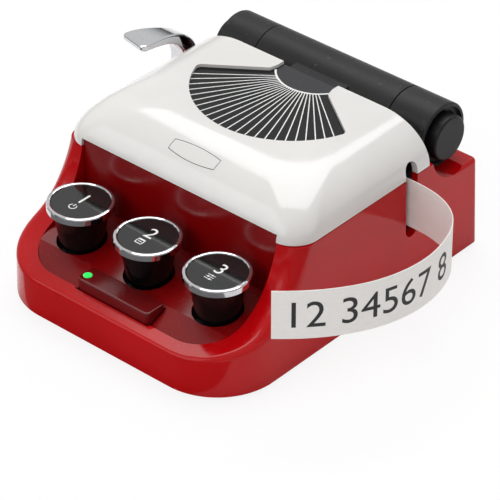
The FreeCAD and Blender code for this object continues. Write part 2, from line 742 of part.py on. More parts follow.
def gear(name, teeth, phase, centre_x, centre_y, bore):
    blank = prism(gear_outline(teeth, phase, num(centre_x), num(centre_y)), 0, 0, gear_thick)
    blank.translate(vec(0, 0, num(gear_low)))
    hole = Part.makeCylinder(num(bore), 40, vec(num(centre_x), num(centre_y), 0))
    return shaped(name, blank.cut(hole))


to_motor = math.atan2(num(motor_y) - num(idler_y), num(motor_x) - num(idler_x))
to_roller = math.atan2(num(roller_y) - num(idler_y), num(roller_x) - num(idler_x))
idler_pitch = 2 * math.pi / num(idler_teeth)
idler_offset = (to_roller - to_motor) % idler_pitch
roller_phase = (to_roller + math.pi + idler_offset * num(idler_teeth) / num(roller_teeth)
                + math.pi / num(roller_teeth))
pinion_blank = gear("pinion_blank", pinion_teeth, to_motor + math.pi + math.pi / num(pinion_teeth),
                    motor_x, motor_y, motor_shaft_radius)
motor_pinion = join("motor_pinion", pinion_blank, rod("motor_shaft", "z", motor_x, motor_y, gear_low - 0.2,
                                                      motor_shaft_radius, chassis_top + 6 - gear_low))
idler_gear = gear("idler_gear", idler_teeth, to_motor, idler_x, idler_y, stud_radius + running)
roller_gear = gear("roller_gear", roller_teeth, roller_phase, roller_x, roller_y, roller_shaft_radius)

head_top = tape_low + tape_width + size("bracket_over_tape", 2.8)
roller_shaft = rod("drive_roller_shaft", "z", roller_x, roller_y, gear_low - 0.8, roller_shaft_radius,
                   head_top - gear_low + 1.2)
sleeve = turned("drive_roller_sleeve", roller_x, roller_y, 0, None, [
    (roller_shaft_radius, tape_low - 0.6), (platen_radius - 0.4, tape_low - 0.6),
    (platen_radius, tape_low - 0.2),
    (platen_radius, tape_low + tape_width + 0.6), (platen_radius - 0.4, tape_low + tape_width + 1),
    (roller_shaft_radius, tape_low + tape_width + 1),
])
head_front = tape_y + 0.2
head_back = head_front + 1.6
bracket_back = head_back + 1
print_head = box("print_head", (roller_x - 3.2, roller_x + 3.2), (head_front, head_back),
                 (chassis_top + 1.5, head_top - 1.2))
head_bracket = cut(
    "head_bracket",
    join("bracket_body",
         box("bracket_web", (roller_x - 4, roller_x + 3.2), (head_back, bracket_back),
             (chassis_top, head_top)),
         box("bracket_flange", (roller_x - 4, roller_x + 3.2), (roller_y - 4, bracket_back),
             (head_top - 1.2, head_top))),
    rod("bracket_bore", "z", roller_x, roller_y, head_top - 3, roller_shaft_radius + running, 6))

# ---- tape and cassette ----
roll_radius = size("tape_roll_radius", 13.2)
case_half = size("case_half_width", 19)
roll_x = roller_x - size("roll_to_roller", 37)
case_right = roll_x + case_half
roll_y = tape_front - gap - roll_radius
case_left = roll_x - case_half
case_wall = size("case_wall", 1.5)
case_top = tape_low + tape_width + size("lid_over_tape", 0.8)
case_front = roll_y - roll_radius - 2.5 - case_wall
case_back = tape_y + 2.2
spool_radius = size("spool_radius", 5.5)
post_size = size("spool_post_radius", 3)
case_floor = chassis_top + 1.4
cassette_case = join(
    "cassette_case",
    cut("case_tub",
        box("case_block", (case_left, case_right), (case_front, case_back), (chassis_top, case_top)),
        box("case_room", (case_left + case_wall, case_right - case_wall),
            (case_front + case_wall, case_back - case_wall), (case_floor, case_top + 1)),
        box("case_exit", (case_right - case_wall - 1, case_right + 1), (tape_y - 0.9, tape_y + 0.7),
            (tape_low - 0.6, case_top + 1))),
    rod("spool_post", "z", roll_x, roll_y, chassis_top + 0.5, post_size, case_top - chassis_top - 0.7))
cassette_lid = join(
    "cassette_lid",
    box("lid_sheet", (case_left, case_right), (case_front, case_back), (case_top, case_top + 1.2)),
    box("lid_grip", (roll_x - 6, roll_x + 6), (roll_y - 1, roll_y + 1), (case_top + 1, case_top + 4)))
spool_core = turned("spool_core", roll_x, roll_y, 0, None, [
    (post_size + running, case_floor + 0.2), (roll_radius - 1, case_floor + 0.2),
    (roll_radius - 1, case_floor + 1), (spool_radius, case_floor + 1), (spool_radius, case_top - 0.3),
    (post_size + running, case_top - 0.3),
])
tape_roll = cut(
    "tape_roll",
    rod("roll_outer", "z", roll_x, roll_y, tape_low, roll_radius, tape_width),
    rod("roll_inner", "z", roll_x, roll_y, tape_low - 1, spool_radius, tape_width + 2))

# Middle line of the printed strip beyond the side wall, right and back of its exit: it curls to the front.
curl = [(4, -0.1), (12.5, -1.9), (20, -7), (25, -16.5), (26.7, -27), (25.6, -37),
        (23, -44.8), (17.8, -53.7), (11, -61.7), (5, -67.1)]


def strip_edge(offset):
    """One face line of the strip, set off sideways from its middle line."""
    line = Part.BSplineCurve()
    exit_x, exit_y = num(half_body), num(tape_y)
    points = [vec(exit_x - 2, exit_y, 0)]
    points += [vec(exit_x + right, exit_y + behind, 0) for right, behind in curl]
    line.interpolate(points)
    shifted = []
    steps = 26
    for step in range(steps + 1):
        where = line.FirstParameter + (line.LastParameter - line.FirstParameter) * step / steps
        tangent = line.tangent(where)[0]
        shifted.append(line.value(where) + vec(-tangent.y, tangent.x, 0) * offset)
    side_line = Part.BSplineCurve()
    side_line.interpolate(shifted)
    return side_line.toShape(), shifted[0], shifted[-1]


half_tape = num(tape_thick) / 2
outer_line, outer_start, outer_end = strip_edge(half_tape)
inner_line, inner_start, inner_end = strip_edge(-half_tape)
strip_start = num(roll_x)
strip_face = Part.Face(Part.Wire(Part.__sortEdges__([
    outer_line, Part.makeLine(outer_end, inner_end), inner_line,
    Part.makeLine(inner_start, vec(strip_start, inner_start.y, 0)),
    Part.makeLine(vec(strip_start, inner_start.y, 0), vec(strip_start, outer_start.y, 0)),
    Part.makeLine(vec(strip_start, outer_start.y, 0), outer_start),
])))
strip_face.translate(vec(0, 0, num(tape_low)))
label_tape = shaped("label_tape", strip_face.extrude(vec(0, 0, num(tape_width))))

# ---- cutter ----
blade_x = half_body - size("blade_inset", 7.3)
blade_edge = tape_y + 3.9
carriage_x = blade_x + 0.5
carriage_half = size("carriage_half_height", 2.2)
carriage_z = size("carriage_middle", 32.6)
carriage_back = pivot_y + 4
carriage_side = carriage_x + 1.6
crank_reach = size("crank_reach", 11)
crank_tilt = 9
pin_y = pivot_y + crank_reach * math.sin(math.radians(crank_tilt))
pin_z = pivot_z + crank_reach * math.cos(math.radians(crank_tilt))
pin_radius = size("crank_pin_radius", 1.1)
cutter_anvil = box("cutter_anvil", (blade_x, blade_x + 2.6), (tape_y - 3.4, tape_y - 0.5),
                   (chassis_top, case_top))
cutter_guide = cut(
    "cutter_guide",
    box("guide_block", (carriage_x + 0.1, inner_half), (tape_y + 1.1, tape_y + 9.1),
        (carriage_z - carriage_half - 1.2, carriage_z + carriage_half + 1.2)),
    box("guide_channel", (carriage_x - 1, carriage_side + running), (tape_y - 4, tape_y + 16),
        (carriage_z - carriage_half - running, carriage_z + carriage_half + running)))
cutter_carriage = cut(
    "cutter_carriage",
    box("carriage_bar", (carriage_x, carriage_side), (blade_edge + 0.8, carriage_back),
        (carriage_z - carriage_half, carriage_z + carriage_half)),
    box("carriage_fork", (carriage_x - 1, carriage_side + 1), (pin_y - 1.35, pin_y + 1.35),
        (carriage_z - 0.9, carriage_z + 8)))
cutter_blade = padded("cutter_blade", "XY_Plane", [
    (blade_x, blade_edge), (carriage_x, blade_edge + 0.9), (carriage_x, blade_edge + 2.1),
    (blade_x, blade_edge + 2.1),
], tape_width + 1, z=tape_low - 0.5)
crank_x = blade_x - 2.3
lean = math.sin(math.radians(crank_tilt))
rise = math.cos(math.radians(crank_tilt))
crank_half = size("crank_half_width", 2)
arm_length = size("crank_arm_length", 12.6)
crank_arm = padded("crank_arm", "YZ_Plane", [
    (pivot_y - crank_half * rise, pivot_z + crank_half * lean),
    (pivot_y + crank_half * rise, pivot_z - crank_half * lean),
    (pivot_y + arm_length * lean + crank_half * rise, pivot_z + arm_length * rise - crank_half * lean),
    (pivot_y + arm_length * lean - crank_half * rise, pivot_z + arm_length * rise + crank_half * lean),
], 2, x=crank_x)
cutter_crank = cut(
    "cutter_crank",
    join("crank_body", crank_arm, rod("crank_hub", "x", crank_x, pivot_y, pivot_z, 3.2, 2),
         rod("crank_pin", "x", crank_x + 1, pin_y, pin_z, pin_radius, carriage_side - crank_x - 1)),
    rod("crank_bore", "x", crank_x - 1, pivot_y, pivot_z, shaft_radius, 4))
lever_inner = -half_body - 1.3
lever_outer = lever_inner - 6.2
cutter_shaft = rod("cutter_shaft", "x", lever_outer + 0.6, pivot_y, pivot_z, shaft_radius,
                   crank_x + 2 - lever_outer - 0.6)
lever_coil_length = size("lever_coil_length", 9)
lever_coil = coil("lever_spring_wound", 0, 0, 0, shaft_radius + 0.6, lever_coil_length, 5, spring_wire)
lever_spring = put("lever_spring", lever_coil, 12 - half_body, pivot_y, pivot_z, along["x"])


def curve(points):
    line = Part.BSplineCurve()
    line.interpolate([vec(0, behind, above) for behind, above in points])
    return line.toShape()


# Side view of the lever from its pivot: the thumb end, over the bend and down the arm.
lever_upper = [(-23.5, 29.2), (-14.5, 28.5), (-7.5, 27.3), (1.2, 23.9), (6.2, 18.6), (6.7, 12), (3.4, 0)]
lever_under = [(-23.5, 27.4), (-15, 26.4), (-9.5, 25.1), (-3.7, 22.7), (0.1, 18.5), (0.6, 13), (-3.1, 0)]
lever_side = Part.Face(Part.Wire(Part.__sortEdges__([
    curve(lever_upper), curve(lever_under),
    Part.makeLine(vec(0, *lever_upper[0]), vec(0, *lever_under[0])),
    Part.makeLine(vec(0, *lever_upper[-1]), vec(0, *lever_under[-1])),
])))
lever_side.translate(vec(num(lever_outer) - 7, num(pivot_y), num(pivot_z)))
paddle_left = [(-10.9, -16.4), (-9.9, -9), (-8, -2.5), (-7.3, 4), (-7.2, 15)]
paddle_right = [(-0.2, -18.8), (-0.5, -12), (-1.1, -5.5), (-1.5, 1), (-1.6, 15)]


def plan_curve(points):
    line = Part.BSplineCurve()
    line.interpolate([vec(px, py, 0) for px, py in points])
    return line.toShape()


# Plan of the lever beside the left wall.
paddle_plan = Part.Face(Part.Wire(Part.__sortEdges__([
    plan_curve(paddle_left), plan_curve(paddle_right),
    Part.makeLine(vec(*paddle_left[0], 0), vec(*paddle_right[0], 0)),
    Part.makeLine(vec(*paddle_left[-1], 0), vec(*paddle_right[-1], 0)),
])))
paddle_plan.translate(vec(-num(half_body), num(pivot_y), 0))
lever_form = overlap(
    "lever_form",
    shaped("lever_slab", lever_side.extrude(vec(20, 0, 0))),
    shaped("lever_plan", paddle_plan.extrude(vec(0, 0, 70))))
doc.recompute()
paddle_corners = []
for number, edge in enumerate(lever_form.Shape.Edges):
    middle = edge.CenterOfMass
    if edge.Length < 3 and middle.y < num(pivot_y) - 14 and middle.z > num(pivot_z) + 17:
        paddle_corners.append((number + 1, 1.6, 1.6))
lever_cornered = soften("lever_cornered", lever_form, paddle_corners)
doc.recompute()
lever_rims = []
for number, edge in enumerate(lever_cornered.Shape.Edges):
    upright = abs(edge.tangentAt(edge.FirstParameter).z) > 0.9 and edge.Length < 3
    if edge.CenterOfMass.z > num(pivot_z) + 4.5 and not upright:
        lever_rims.append((number + 1, 0.7, 0.7))
lever_smooth = soften("lever_smooth", lever_cornered, lever_rims)
cutter_lever = cut(
    "cutter_lever",
    join("lever_body", lever_smooth,
         rod("lever_hub", "x", lever_outer, pivot_y, pivot_z, 4.8, lever_inner - lever_outer)),
    rod("lever_hole", "x", lever_outer + 0.6, pivot_y, pivot_z, shaft_radius, 20))

# ---- roller: hinge barrels, axle, knobs ----
seam_gap = size("seam_gap", 0.3)
axle_bore = axle_radius + running
barrel_length = roller_half - seam_x - seam_gap / 2
barrel_profile = [
    (axle_bore, 0), (roller_radius - 0.15, 0), (roller_radius, 0.15), (roller_radius, barrel_length - 0.5),
    (roller_radius - 0.15, barrel_length - 0.15), (roller_radius - 0.5, barrel_length),
    (roller_radius - 1.1, barrel_length), (roller_radius - 1.2, barrel_length - 1.3),
    (axle_radius + 5.1, barrel_length - 1.3), (axle_radius + 5.1, barrel_length - 2.2),
    (axle_bore, barrel_length - 2.2),
]
for side_name, sign, turn in (("left", -1, FreeCAD.Rotation(vec(0, 1, 0), -90)), ("right", 1, along["x"])):
    start = (seam_x + seam_gap / 2) * sign
    tube = turned(side_name + "_barrel_tube", start, hinge_y, hinge_z, turn, barrel_profile)
    low_x = seam_x + 2.7 if sign > 0 else -seam_x - 10.7
    foot = overlap(
        side_name + "_barrel_foot",
        box(side_name + "_foot_block", (low_x, low_x + 8), (hinge_y - 3.5, hinge_y + 3.5),
            (hinge_z - 12, hinge_z - 9)),
        rod(side_name + "_foot_round", "x", low_x, hinge_y, hinge_z, saddle_radius, 8))
    finished[side_name + "_hinge_barrel"] = join(side_name + "_hinge_barrel", tube, foot)
    knob_start = roller_half - 1.9
    knob = turned(side_name + "_knob", knob_start * sign, hinge_y, hinge_z, turn, [
        (axle_radius, 0), (6.6, 0), (7, 0.4), (7, 3.9), (6.93, 4.25), (6.7, 4.53), (6.35, 4.7), (0, 4.7),
        (0, 3.4),
        (axle_radius, 3.4),
    ])
    finished[side_name + "_knob"] = knob
axle_end = roller_half - 1.9 + 3.4
finished["roller_axle"] = rod("roller_axle", "x", -axle_end, hinge_y, hinge_z, axle_radius, axle_end * 2)

# ---- cover ----
cover_half = half_body - 1
cover_front = lip_y - 0.4
cover_back = back - size("cover_setback", 23.2)
cover_low = size("cover_bottom", 38.6)
cover_rise = size("cover_rise", 12.6)
shoulder = size("cover_shoulder", 17)
nose = size("cover_nose", 23.3)
cover_skin = size("cover_skin", 2)
top_skin = size("cover_top_skin", 2.8)
cover_top = cover_low + cover_rise


def dome(half, start, end, low, rise, side_run, front_run, corner):
    """A softly rounded lid: stacked outlines that draw in along a quarter ellipse."""
    wires = []
    levels = 10
    for level in range(levels + 1):
        angle = math.pi / 2 * level / levels
        drawn = 1 - math.cos(angle)
        wires.append(rounded_plan(
            num(half) - num(side_run) * drawn, num(start) + num(front_run) * drawn, num(end),
            num(corner) + 7 * drawn, 0.4, num(low) + num(rise) * math.sin(angle)))
    return Part.makeLoft(wires, True, False)


outer_dome = shaped("cover_outside", dome(
    cover_half, cover_front, cover_back, cover_low, cover_rise, shoulder, nose, 8.5))
inner_dome = shaped("cover_inside", dome(
    cover_half - cover_skin, cover_front + cover_skin, cover_back - cover_skin, cover_low - 0.02,
    cover_rise - top_skin, shoulder - 1, nose - 1, 6.5))
lip_bottom = size("lip_bottom", 41)
lip_relief = box("lip_relief", (-tray_half, tray_half), (cover_front - 2, panel_back + 6),
                 (cover_low - 2, lip_bottom))

fan_y = cover_back - 7.2
fan_radius = size("fan_radius", 31.2)
fan_corner_x = size("fan_corner_across", 28.4)
fan_corner_y = cover_back - 17.9
fan_horn_x = size("fan_horn_across", 11.1)
fan_horn_y = cover_back - 5.5
fan_mouth = size("fan_mouth_half", 10.4)
fan_floor = size("fan_floor", 49.5)
fan_thick = size("fan_thick", 0.7)


def fan_block(inset, end, height, tall):
    """The fan's outline raised: a wide arc in front, straight sides drawn in to a narrow mouth behind."""
    cx, cy = num(fan_corner_x) - inset * 1.2, num(fan_corner_y) + inset * 0.2
    hx, hy = num(fan_horn_x) - inset, num(fan_horn_y)
    mouth = num(fan_mouth) - inset
    apex = vec(0, num(fan_y) - num(fan_radius) + inset, height)
    edges = [
        Part.Arc(vec(-cx, cy, height), apex, vec(cx, cy, height)).toShape(),
        Part.makeLine(vec(cx, cy, height), vec(hx, hy, height)),
        Part.makeLine(vec(hx, hy, height), vec(mouth, hy + 3, height)),
        Part.makeLine(vec(mouth, hy + 3, height), vec(mouth, end, height)),
        Part.makeLine(vec(mouth, end, height), vec(-mouth, end, height)),
        Part.makeLine(vec(-mouth, end, height), vec(-mouth, hy + 3, height)),
        Part.makeLine(vec(-mouth, hy + 3, height), vec(-hx, hy, height)),
        Part.makeLine(vec(-hx, hy, height), vec(-cx, cy, height)),
    ]
    solid = Part.Face(Part.Wire(edges)).extrude(vec(0, 0, tall))
    for reach, radius in ((cx, num(fan_corner_round)), (hx, num(fan_horn_round))):
        corners = [edge for edge in solid.Edges if abs(abs(edge.CenterOfMass.x) - reach) < 0.01
                   and abs(edge.Length - tall) < 0.01]
        solid = solid.makeFillet(radius, corners)
    return solid


fan_corner_round = size("fan_corner_round", 1.8)
fan_horn_round = size("fan_horn_round", 1)
fan_recess = shaped("fan_recess", fan_block(0, num(cover_back) + 2, num(fan_floor), 5))
finished["fan_panel"] = shaped("fan_panel",
                               fan_block(0.06, num(cover_back) - 0.1, num(fan_floor), num(fan_thick)))
leaf_half = size("leaf_half_width", 10)
leaf_low = size("leaf_bottom", 46.2)
leaf_front = cover_back - 19.5
rear_notch = box("rear_notch", (-fan_mouth, fan_mouth), (cover_back - cover_skin - 0.5, cover_back + 1),
                 (cover_low - 1, fan_floor + 0.1))
cover_notch = join(
    "cover_notch",
    box("cover_notch_low", (inner_half - 8, half_body + 2), (slot_front, slot_back),
        (cover_low - 1, slot_high - slot_half)),
    rod("cover_notch_arch", "x", inner_half - 8, slot_mid, slot_high - slot_half, slot_half, 14))
finished["cover_shell"] = cut("cover_shell", outer_dome, inner_dome, lip_relief, fan_recess, rear_notch,
                              cover_notch)

barrel_middle = rod("barrel_middle", "x", -seam_x + seam_gap / 2, hinge_y, hinge_z, roller_radius,
                    seam_x * 2 - seam_gap)
leaf = box("leaf", (-leaf_half, leaf_half), (leaf_front, hinge_y - 2),
           (leaf_low, cover_top - top_skin - 0.02))
finished["hinge_barrel"] = cut(
    "hinge_barrel", join("hinge_body", barrel_middle, leaf),
    rod("hinge_bore", "x", -seam_x - 2, hinge_y, hinge_z, axle_bore, seam_x * 2 + 4))

finished.update({
    "base_shell": base_shell, "grip_mat": grip_mat, "bottom_plate": bottom_plate,
    "bottom_screws": bottom_screws,
    "key_deck": key_deck, "key_guide": key_guide, "key_board": key_board, "key_switches": key_switches,
    "status_led": status_led, "chassis_plate": chassis_plate, "main_board": main_board,
    "battery_cell": battery_cell, "usb_socket": usb_socket, "drive_motor": drive_motor,
    "motor_pinion": motor_pinion, "idler_gear": idler_gear, "roller_gear": roller_gear,
    "drive_roller_shaft": roller_shaft, "drive_roller_sleeve": sleeve, "print_head": print_head,
    "head_bracket": head_bracket, "cassette_case": cassette_case, "cassette_lid": cassette_lid,
    "spool_core": spool_core, "tape_roll": tape_roll, "label_tape": label_tape,
    "cutter_anvil": cutter_anvil, "cutter_guide": cutter_guide, "cutter_carriage": cutter_carriage,
    "cutter_blade": cutter_blade, "cutter_crank": cutter_crank, "cutter_shaft": cutter_shaft,
    "lever_spring": lever_spring, "cutter_lever": cutter_lever,
})

doc.recompute()
faults = []
for thing in doc.Objects:
    if "Invalid" in thing.State or "Error" in thing.State:
        faults.append("%s is %s" % (thing.Name, thing.State))
for label, piece in finished.items():
    piece.Label = label
    shape = piece.Shape
    if shape.isNull() or not shape.isValid() or shape.Volume <= 0:
        faults.append(label + " has no sound shape")
for fault in faults:
    print("FAULT", fault)
if faults:
    raise SystemExit("not written")
for label, piece in sorted(finished.items()):
    piece.Shape.exportStep("parts/" + label + ".step")
    print(label, len(piece.Shape.Solids), round(piece.Shape.Volume, 1))
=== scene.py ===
import bmesh
import bpy
import json
import numpy as np
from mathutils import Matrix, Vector


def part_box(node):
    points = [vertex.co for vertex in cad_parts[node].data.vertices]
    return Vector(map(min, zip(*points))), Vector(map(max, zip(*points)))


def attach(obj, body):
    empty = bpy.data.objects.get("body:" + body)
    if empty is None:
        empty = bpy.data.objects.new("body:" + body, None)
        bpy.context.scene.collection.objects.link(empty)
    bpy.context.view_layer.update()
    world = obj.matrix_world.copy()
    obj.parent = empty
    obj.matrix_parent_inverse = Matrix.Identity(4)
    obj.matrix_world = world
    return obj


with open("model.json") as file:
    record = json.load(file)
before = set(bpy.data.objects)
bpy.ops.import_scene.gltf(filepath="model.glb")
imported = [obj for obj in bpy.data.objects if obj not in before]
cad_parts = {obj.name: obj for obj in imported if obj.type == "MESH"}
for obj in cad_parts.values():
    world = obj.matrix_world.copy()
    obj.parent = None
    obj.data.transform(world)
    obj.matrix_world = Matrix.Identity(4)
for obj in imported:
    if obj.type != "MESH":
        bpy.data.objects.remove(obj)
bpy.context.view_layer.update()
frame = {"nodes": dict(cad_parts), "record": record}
cadNodes = frame["nodes"]
mm = 0.001
print("frame loaded:", len(cadNodes), "nodes")

camera = {
    "position": (494.1, -556.0, 526.7),   # millimetres in the row frame
    "aim": (-0.22, 6.81, 2.17),
    "lens": 222.73, "sensor": 36, "farClip": 20,
}
camData = bpy.data.cameras.new("camera")
camData.lens = camera["lens"]
camData.sensor_width = camera["sensor"]
camData.clip_end = camera["farClip"]
camObject = bpy.data.objects.new("camera", camData)
bpy.context.scene.collection.objects.link(camObject)
camObject.location = Vector(camera["position"]) * mm
lookLine = (Vector(camera["aim"]) - Vector(camera["position"])).normalized()
camObject.rotation_euler = lookLine.to_track_quat("-Z", "Y").to_euler()
bpy.context.scene.camera = camObject


def newGroup(name, inputs, outputs):
    # An empty shader group with named number inputs and outputs.
    group = bpy.data.node_groups.new(name, "ShaderNodeTree")
    for label, value in inputs:
        socket = group.interface.new_socket(label, in_out="INPUT", socket_type="NodeSocketFloat")
        socket.default_value = value
    for label in outputs:
        group.interface.new_socket(label, in_out="OUTPUT", socket_type="NodeSocketFloat")
    return group, group.nodes.new("NodeGroupInput"), group.nodes.new("NodeGroupOutput")


def mathNode(tree, operation, first, second, clamp=False):
    node = tree.nodes.new("ShaderNodeMath")
    node.operation = operation
    node.use_clamp = clamp
    for socket, value in zip(node.inputs, (first, second)):
        if isinstance(value, (int, float)):
            socket.default_value = value
        else:
            tree.links.new(value, socket)
    return node.outputs[0]


def noiseNode(tree, vector, scale, detail, roughness=0.5):
    node = tree.nodes.new("ShaderNodeTexNoise")
    node.inputs["Detail"].default_value = detail
    node.inputs["Roughness"].default_value = roughness
    if isinstance(scale, (int, float)):
        node.inputs["Scale"].default_value = scale
    else:
        tree.links.new(scale, node.inputs["Scale"])
    tree.links.new(vector, node.inputs["Vector"])
    return node.outputs["Fac"]


def buildMoulding():
    # Moulded plastic: a fine skin, slow waves from cooling, and faint handling smudges.
    group, source, target = newGroup(
        "moulding", [("Fine scale", 2500.0), ("Wave scale", 60.0), ("Smudge scale", 25.0)],
        ["Fine", "Wave", "Smudge"])
    where = group.nodes.new("ShaderNodeTexCoord").outputs["Object"]
    group.links.new(noiseNode(group, where, source.outputs["Fine scale"], 2), target.inputs["Fine"])
    group.links.new(noiseNode(group, where, source.outputs["Wave scale"], 1), target.inputs["Wave"])
    smudgeGain, smudgeFloor = 3.0, 1.2
    smudge = noiseNode(group, where, source.outputs["Smudge scale"], 5, 0.65)
    sharp = mathNode(group, "SUBTRACT", mathNode(group, "MULTIPLY", smudge, smudgeGain), smudgeFloor, True)
    group.links.new(sharp, target.inputs["Smudge"])
    return group


def buildBrushed():
    # Brushed or drawn metal: streaks along X, Y or Z, from noise stretched along that way.
    group, source, target = newGroup(
        "brushed", [("Along X", 40.0), ("Along Y", 2500.0), ("Along Z", 2500.0)], ["Streak", "Patch"])
    where = group.nodes.new("ShaderNodeTexCoord").outputs["Object"]
    split = group.nodes.new("ShaderNodeSeparateXYZ")
    group.links.new(where, split.inputs[0])
    combine = group.nodes.new("ShaderNodeCombineXYZ")
    for axis in "XYZ":
        stretched = mathNode(group, "MULTIPLY", split.outputs[axis], source.outputs["Along " + axis])
        group.links.new(stretched, combine.inputs[axis])
    group.links.new(noiseNode(group, combine.outputs[0], 1.0, 2), target.inputs["Streak"])
    group.links.new(noiseNode(group, where, 90.0, 3), target.inputs["Patch"])
    return group


def buildDust():
    # Sparse light specks, heavier on faces that look up.
    group, source, target = newGroup("dust", [("Amount", 0.2), ("Scale", 900.0)], ["Mask"])
    where = group.nodes.new("ShaderNodeTexCoord").outputs["Object"]
    speckGain, speckFloor = 8.0, 5.4
    spots = noiseNode(group, where, source.outputs["Scale"], 1)
    few = mathNode(group, "SUBTRACT", mathNode(group, "MULTIPLY", spots, speckGain), speckFloor, True)
    facing = group.nodes.new("ShaderNodeSeparateXYZ")
    group.links.new(group.nodes.new("ShaderNodeNewGeometry").outputs["Normal"], facing.inputs[0])
    upward = mathNode(group, "MAXIMUM", facing.outputs["Z"], 0.0)
    seen = mathNode(group, "MULTIPLY", few, upward)
    shown = mathNode(group, "MULTIPLY", seen, source.outputs["Amount"], True)
    group.links.new(shown, target.inputs["Mask"])
    return group


mouldingGroup = buildMoulding()
brushedGroup = buildBrushed()
dustGroup = buildDust()
dustColour = (190, 186, 180)
relief = {"moulding": 0.0001, "streak": 0.00003, "track": 0.00005, "crease": 0.0002}    # metres, for bumps


def srgb(red, green, blue):
    # A screen colour, 0 to 255, as the linear colour the shader takes.
    channels = []
    for value in (red, green, blue):
        part = value / 255
        channels.append(part / 12.92 if part <= 0.04045 else ((part + 0.055) / 1.055) ** 2.4)
    return (*channels, 1.0)


def blendColour(tree, mask, dark, light):
    node = tree.nodes.new("ShaderNodeMix")
    node.data_type = "RGBA"
    node.inputs["A"].default_value = dark
    node.inputs["B"].default_value = light
    tree.links.new(mask, node.inputs["Factor"])
    return node.outputs["Result"]


def rangeNode(tree, value, low, high):
    node = tree.nodes.new("ShaderNodeMapRange")
    node.inputs["To Min"].default_value = low
    node.inputs["To Max"].default_value = high
    tree.links.new(value, node.inputs["Value"])
    return node.outputs["Result"]


def bumpNode(tree, height, strength, distance):
    node = tree.nodes.new("ShaderNodeBump")
    node.inputs["Strength"].default_value = strength
    node.inputs["Distance"].default_value = distance
    tree.links.new(height, node.inputs["Height"])
    return node.outputs["Normal"]


def startMaterial(name):
    material = bpy.data.materials.new(name)
    material.use_nodes = True
    tree = material.node_tree
    return material, tree, tree.nodes["Principled BSDF"]


def placeGroup(tree, group, **values):
    node = tree.nodes.new("ShaderNodeGroup")
    node.node_tree = group
    for label, value in values.items():
        node.inputs[label.replace("_", " ")].default_value = value
    return node


def plasticMaterial(name, look):
    # Moulded plastic from two near colours, a roughness range and the moulding's skin.
    material, tree, shader = startMaterial(name)
    skin = placeGroup(tree, mouldingGroup, Fine_scale=look["fineScale"], Wave_scale=look["waveScale"])
    dust = placeGroup(tree, dustGroup, Amount=look["dust"])
    body = blendColour(tree, skin.outputs["Smudge"], srgb(*look["dark"]), srgb(*look["light"]))
    dusty = tree.nodes.new("ShaderNodeMix")
    dusty.data_type = "RGBA"
    tree.links.new(dust.outputs["Mask"], dusty.inputs["Factor"])
    tree.links.new(body, dusty.inputs["A"])
    dusty.inputs["B"].default_value = srgb(*dustColour)
    tree.links.new(dusty.outputs["Result"], shader.inputs["Base Color"])
    rough = rangeNode(tree, skin.outputs["Smudge"], *look["rough"])
    tree.links.new(rough, shader.inputs["Roughness"])
    height = mathNode(tree, "ADD", mathNode(tree, "MULTIPLY", skin.outputs["Fine"], look["fineHeight"]),
                      mathNode(tree, "MULTIPLY", skin.outputs["Wave"], look["waveHeight"]))
    tree.links.new(bumpNode(tree, height, 1.0, relief["moulding"]), shader.inputs["Normal"])
    shader.inputs["Coat Weight"].default_value = look["coat"]
    shader.inputs["Coat Roughness"].default_value = look["coatRough"]
    shader.inputs["IOR"].default_value = look.get("ior", 1.5)
    return material


def metalMaterial(name, look):
    # Metal with streaks along its own direction and patchy polish.
    material, tree, shader = startMaterial(name)
    along = look["along"]
    brushed = placeGroup(tree, brushedGroup, Along_X=along[0], Along_Y=along[1], Along_Z=along[2])
    colour = blendColour(tree, brushed.outputs["Streak"], srgb(*look["dark"]), srgb(*look["light"]))
    tree.links.new(colour, shader.inputs["Base Color"])
    tree.links.new(rangeNode(tree, brushed.outputs["Patch"], *look["rough"]), shader.inputs["Roughness"])
    bump = bumpNode(tree, brushed.outputs["Streak"], look["bump"], relief["streak"])
    tree.links.new(bump, shader.inputs["Normal"])
    shader.inputs["Metallic"].default_value = 1.0
    return material


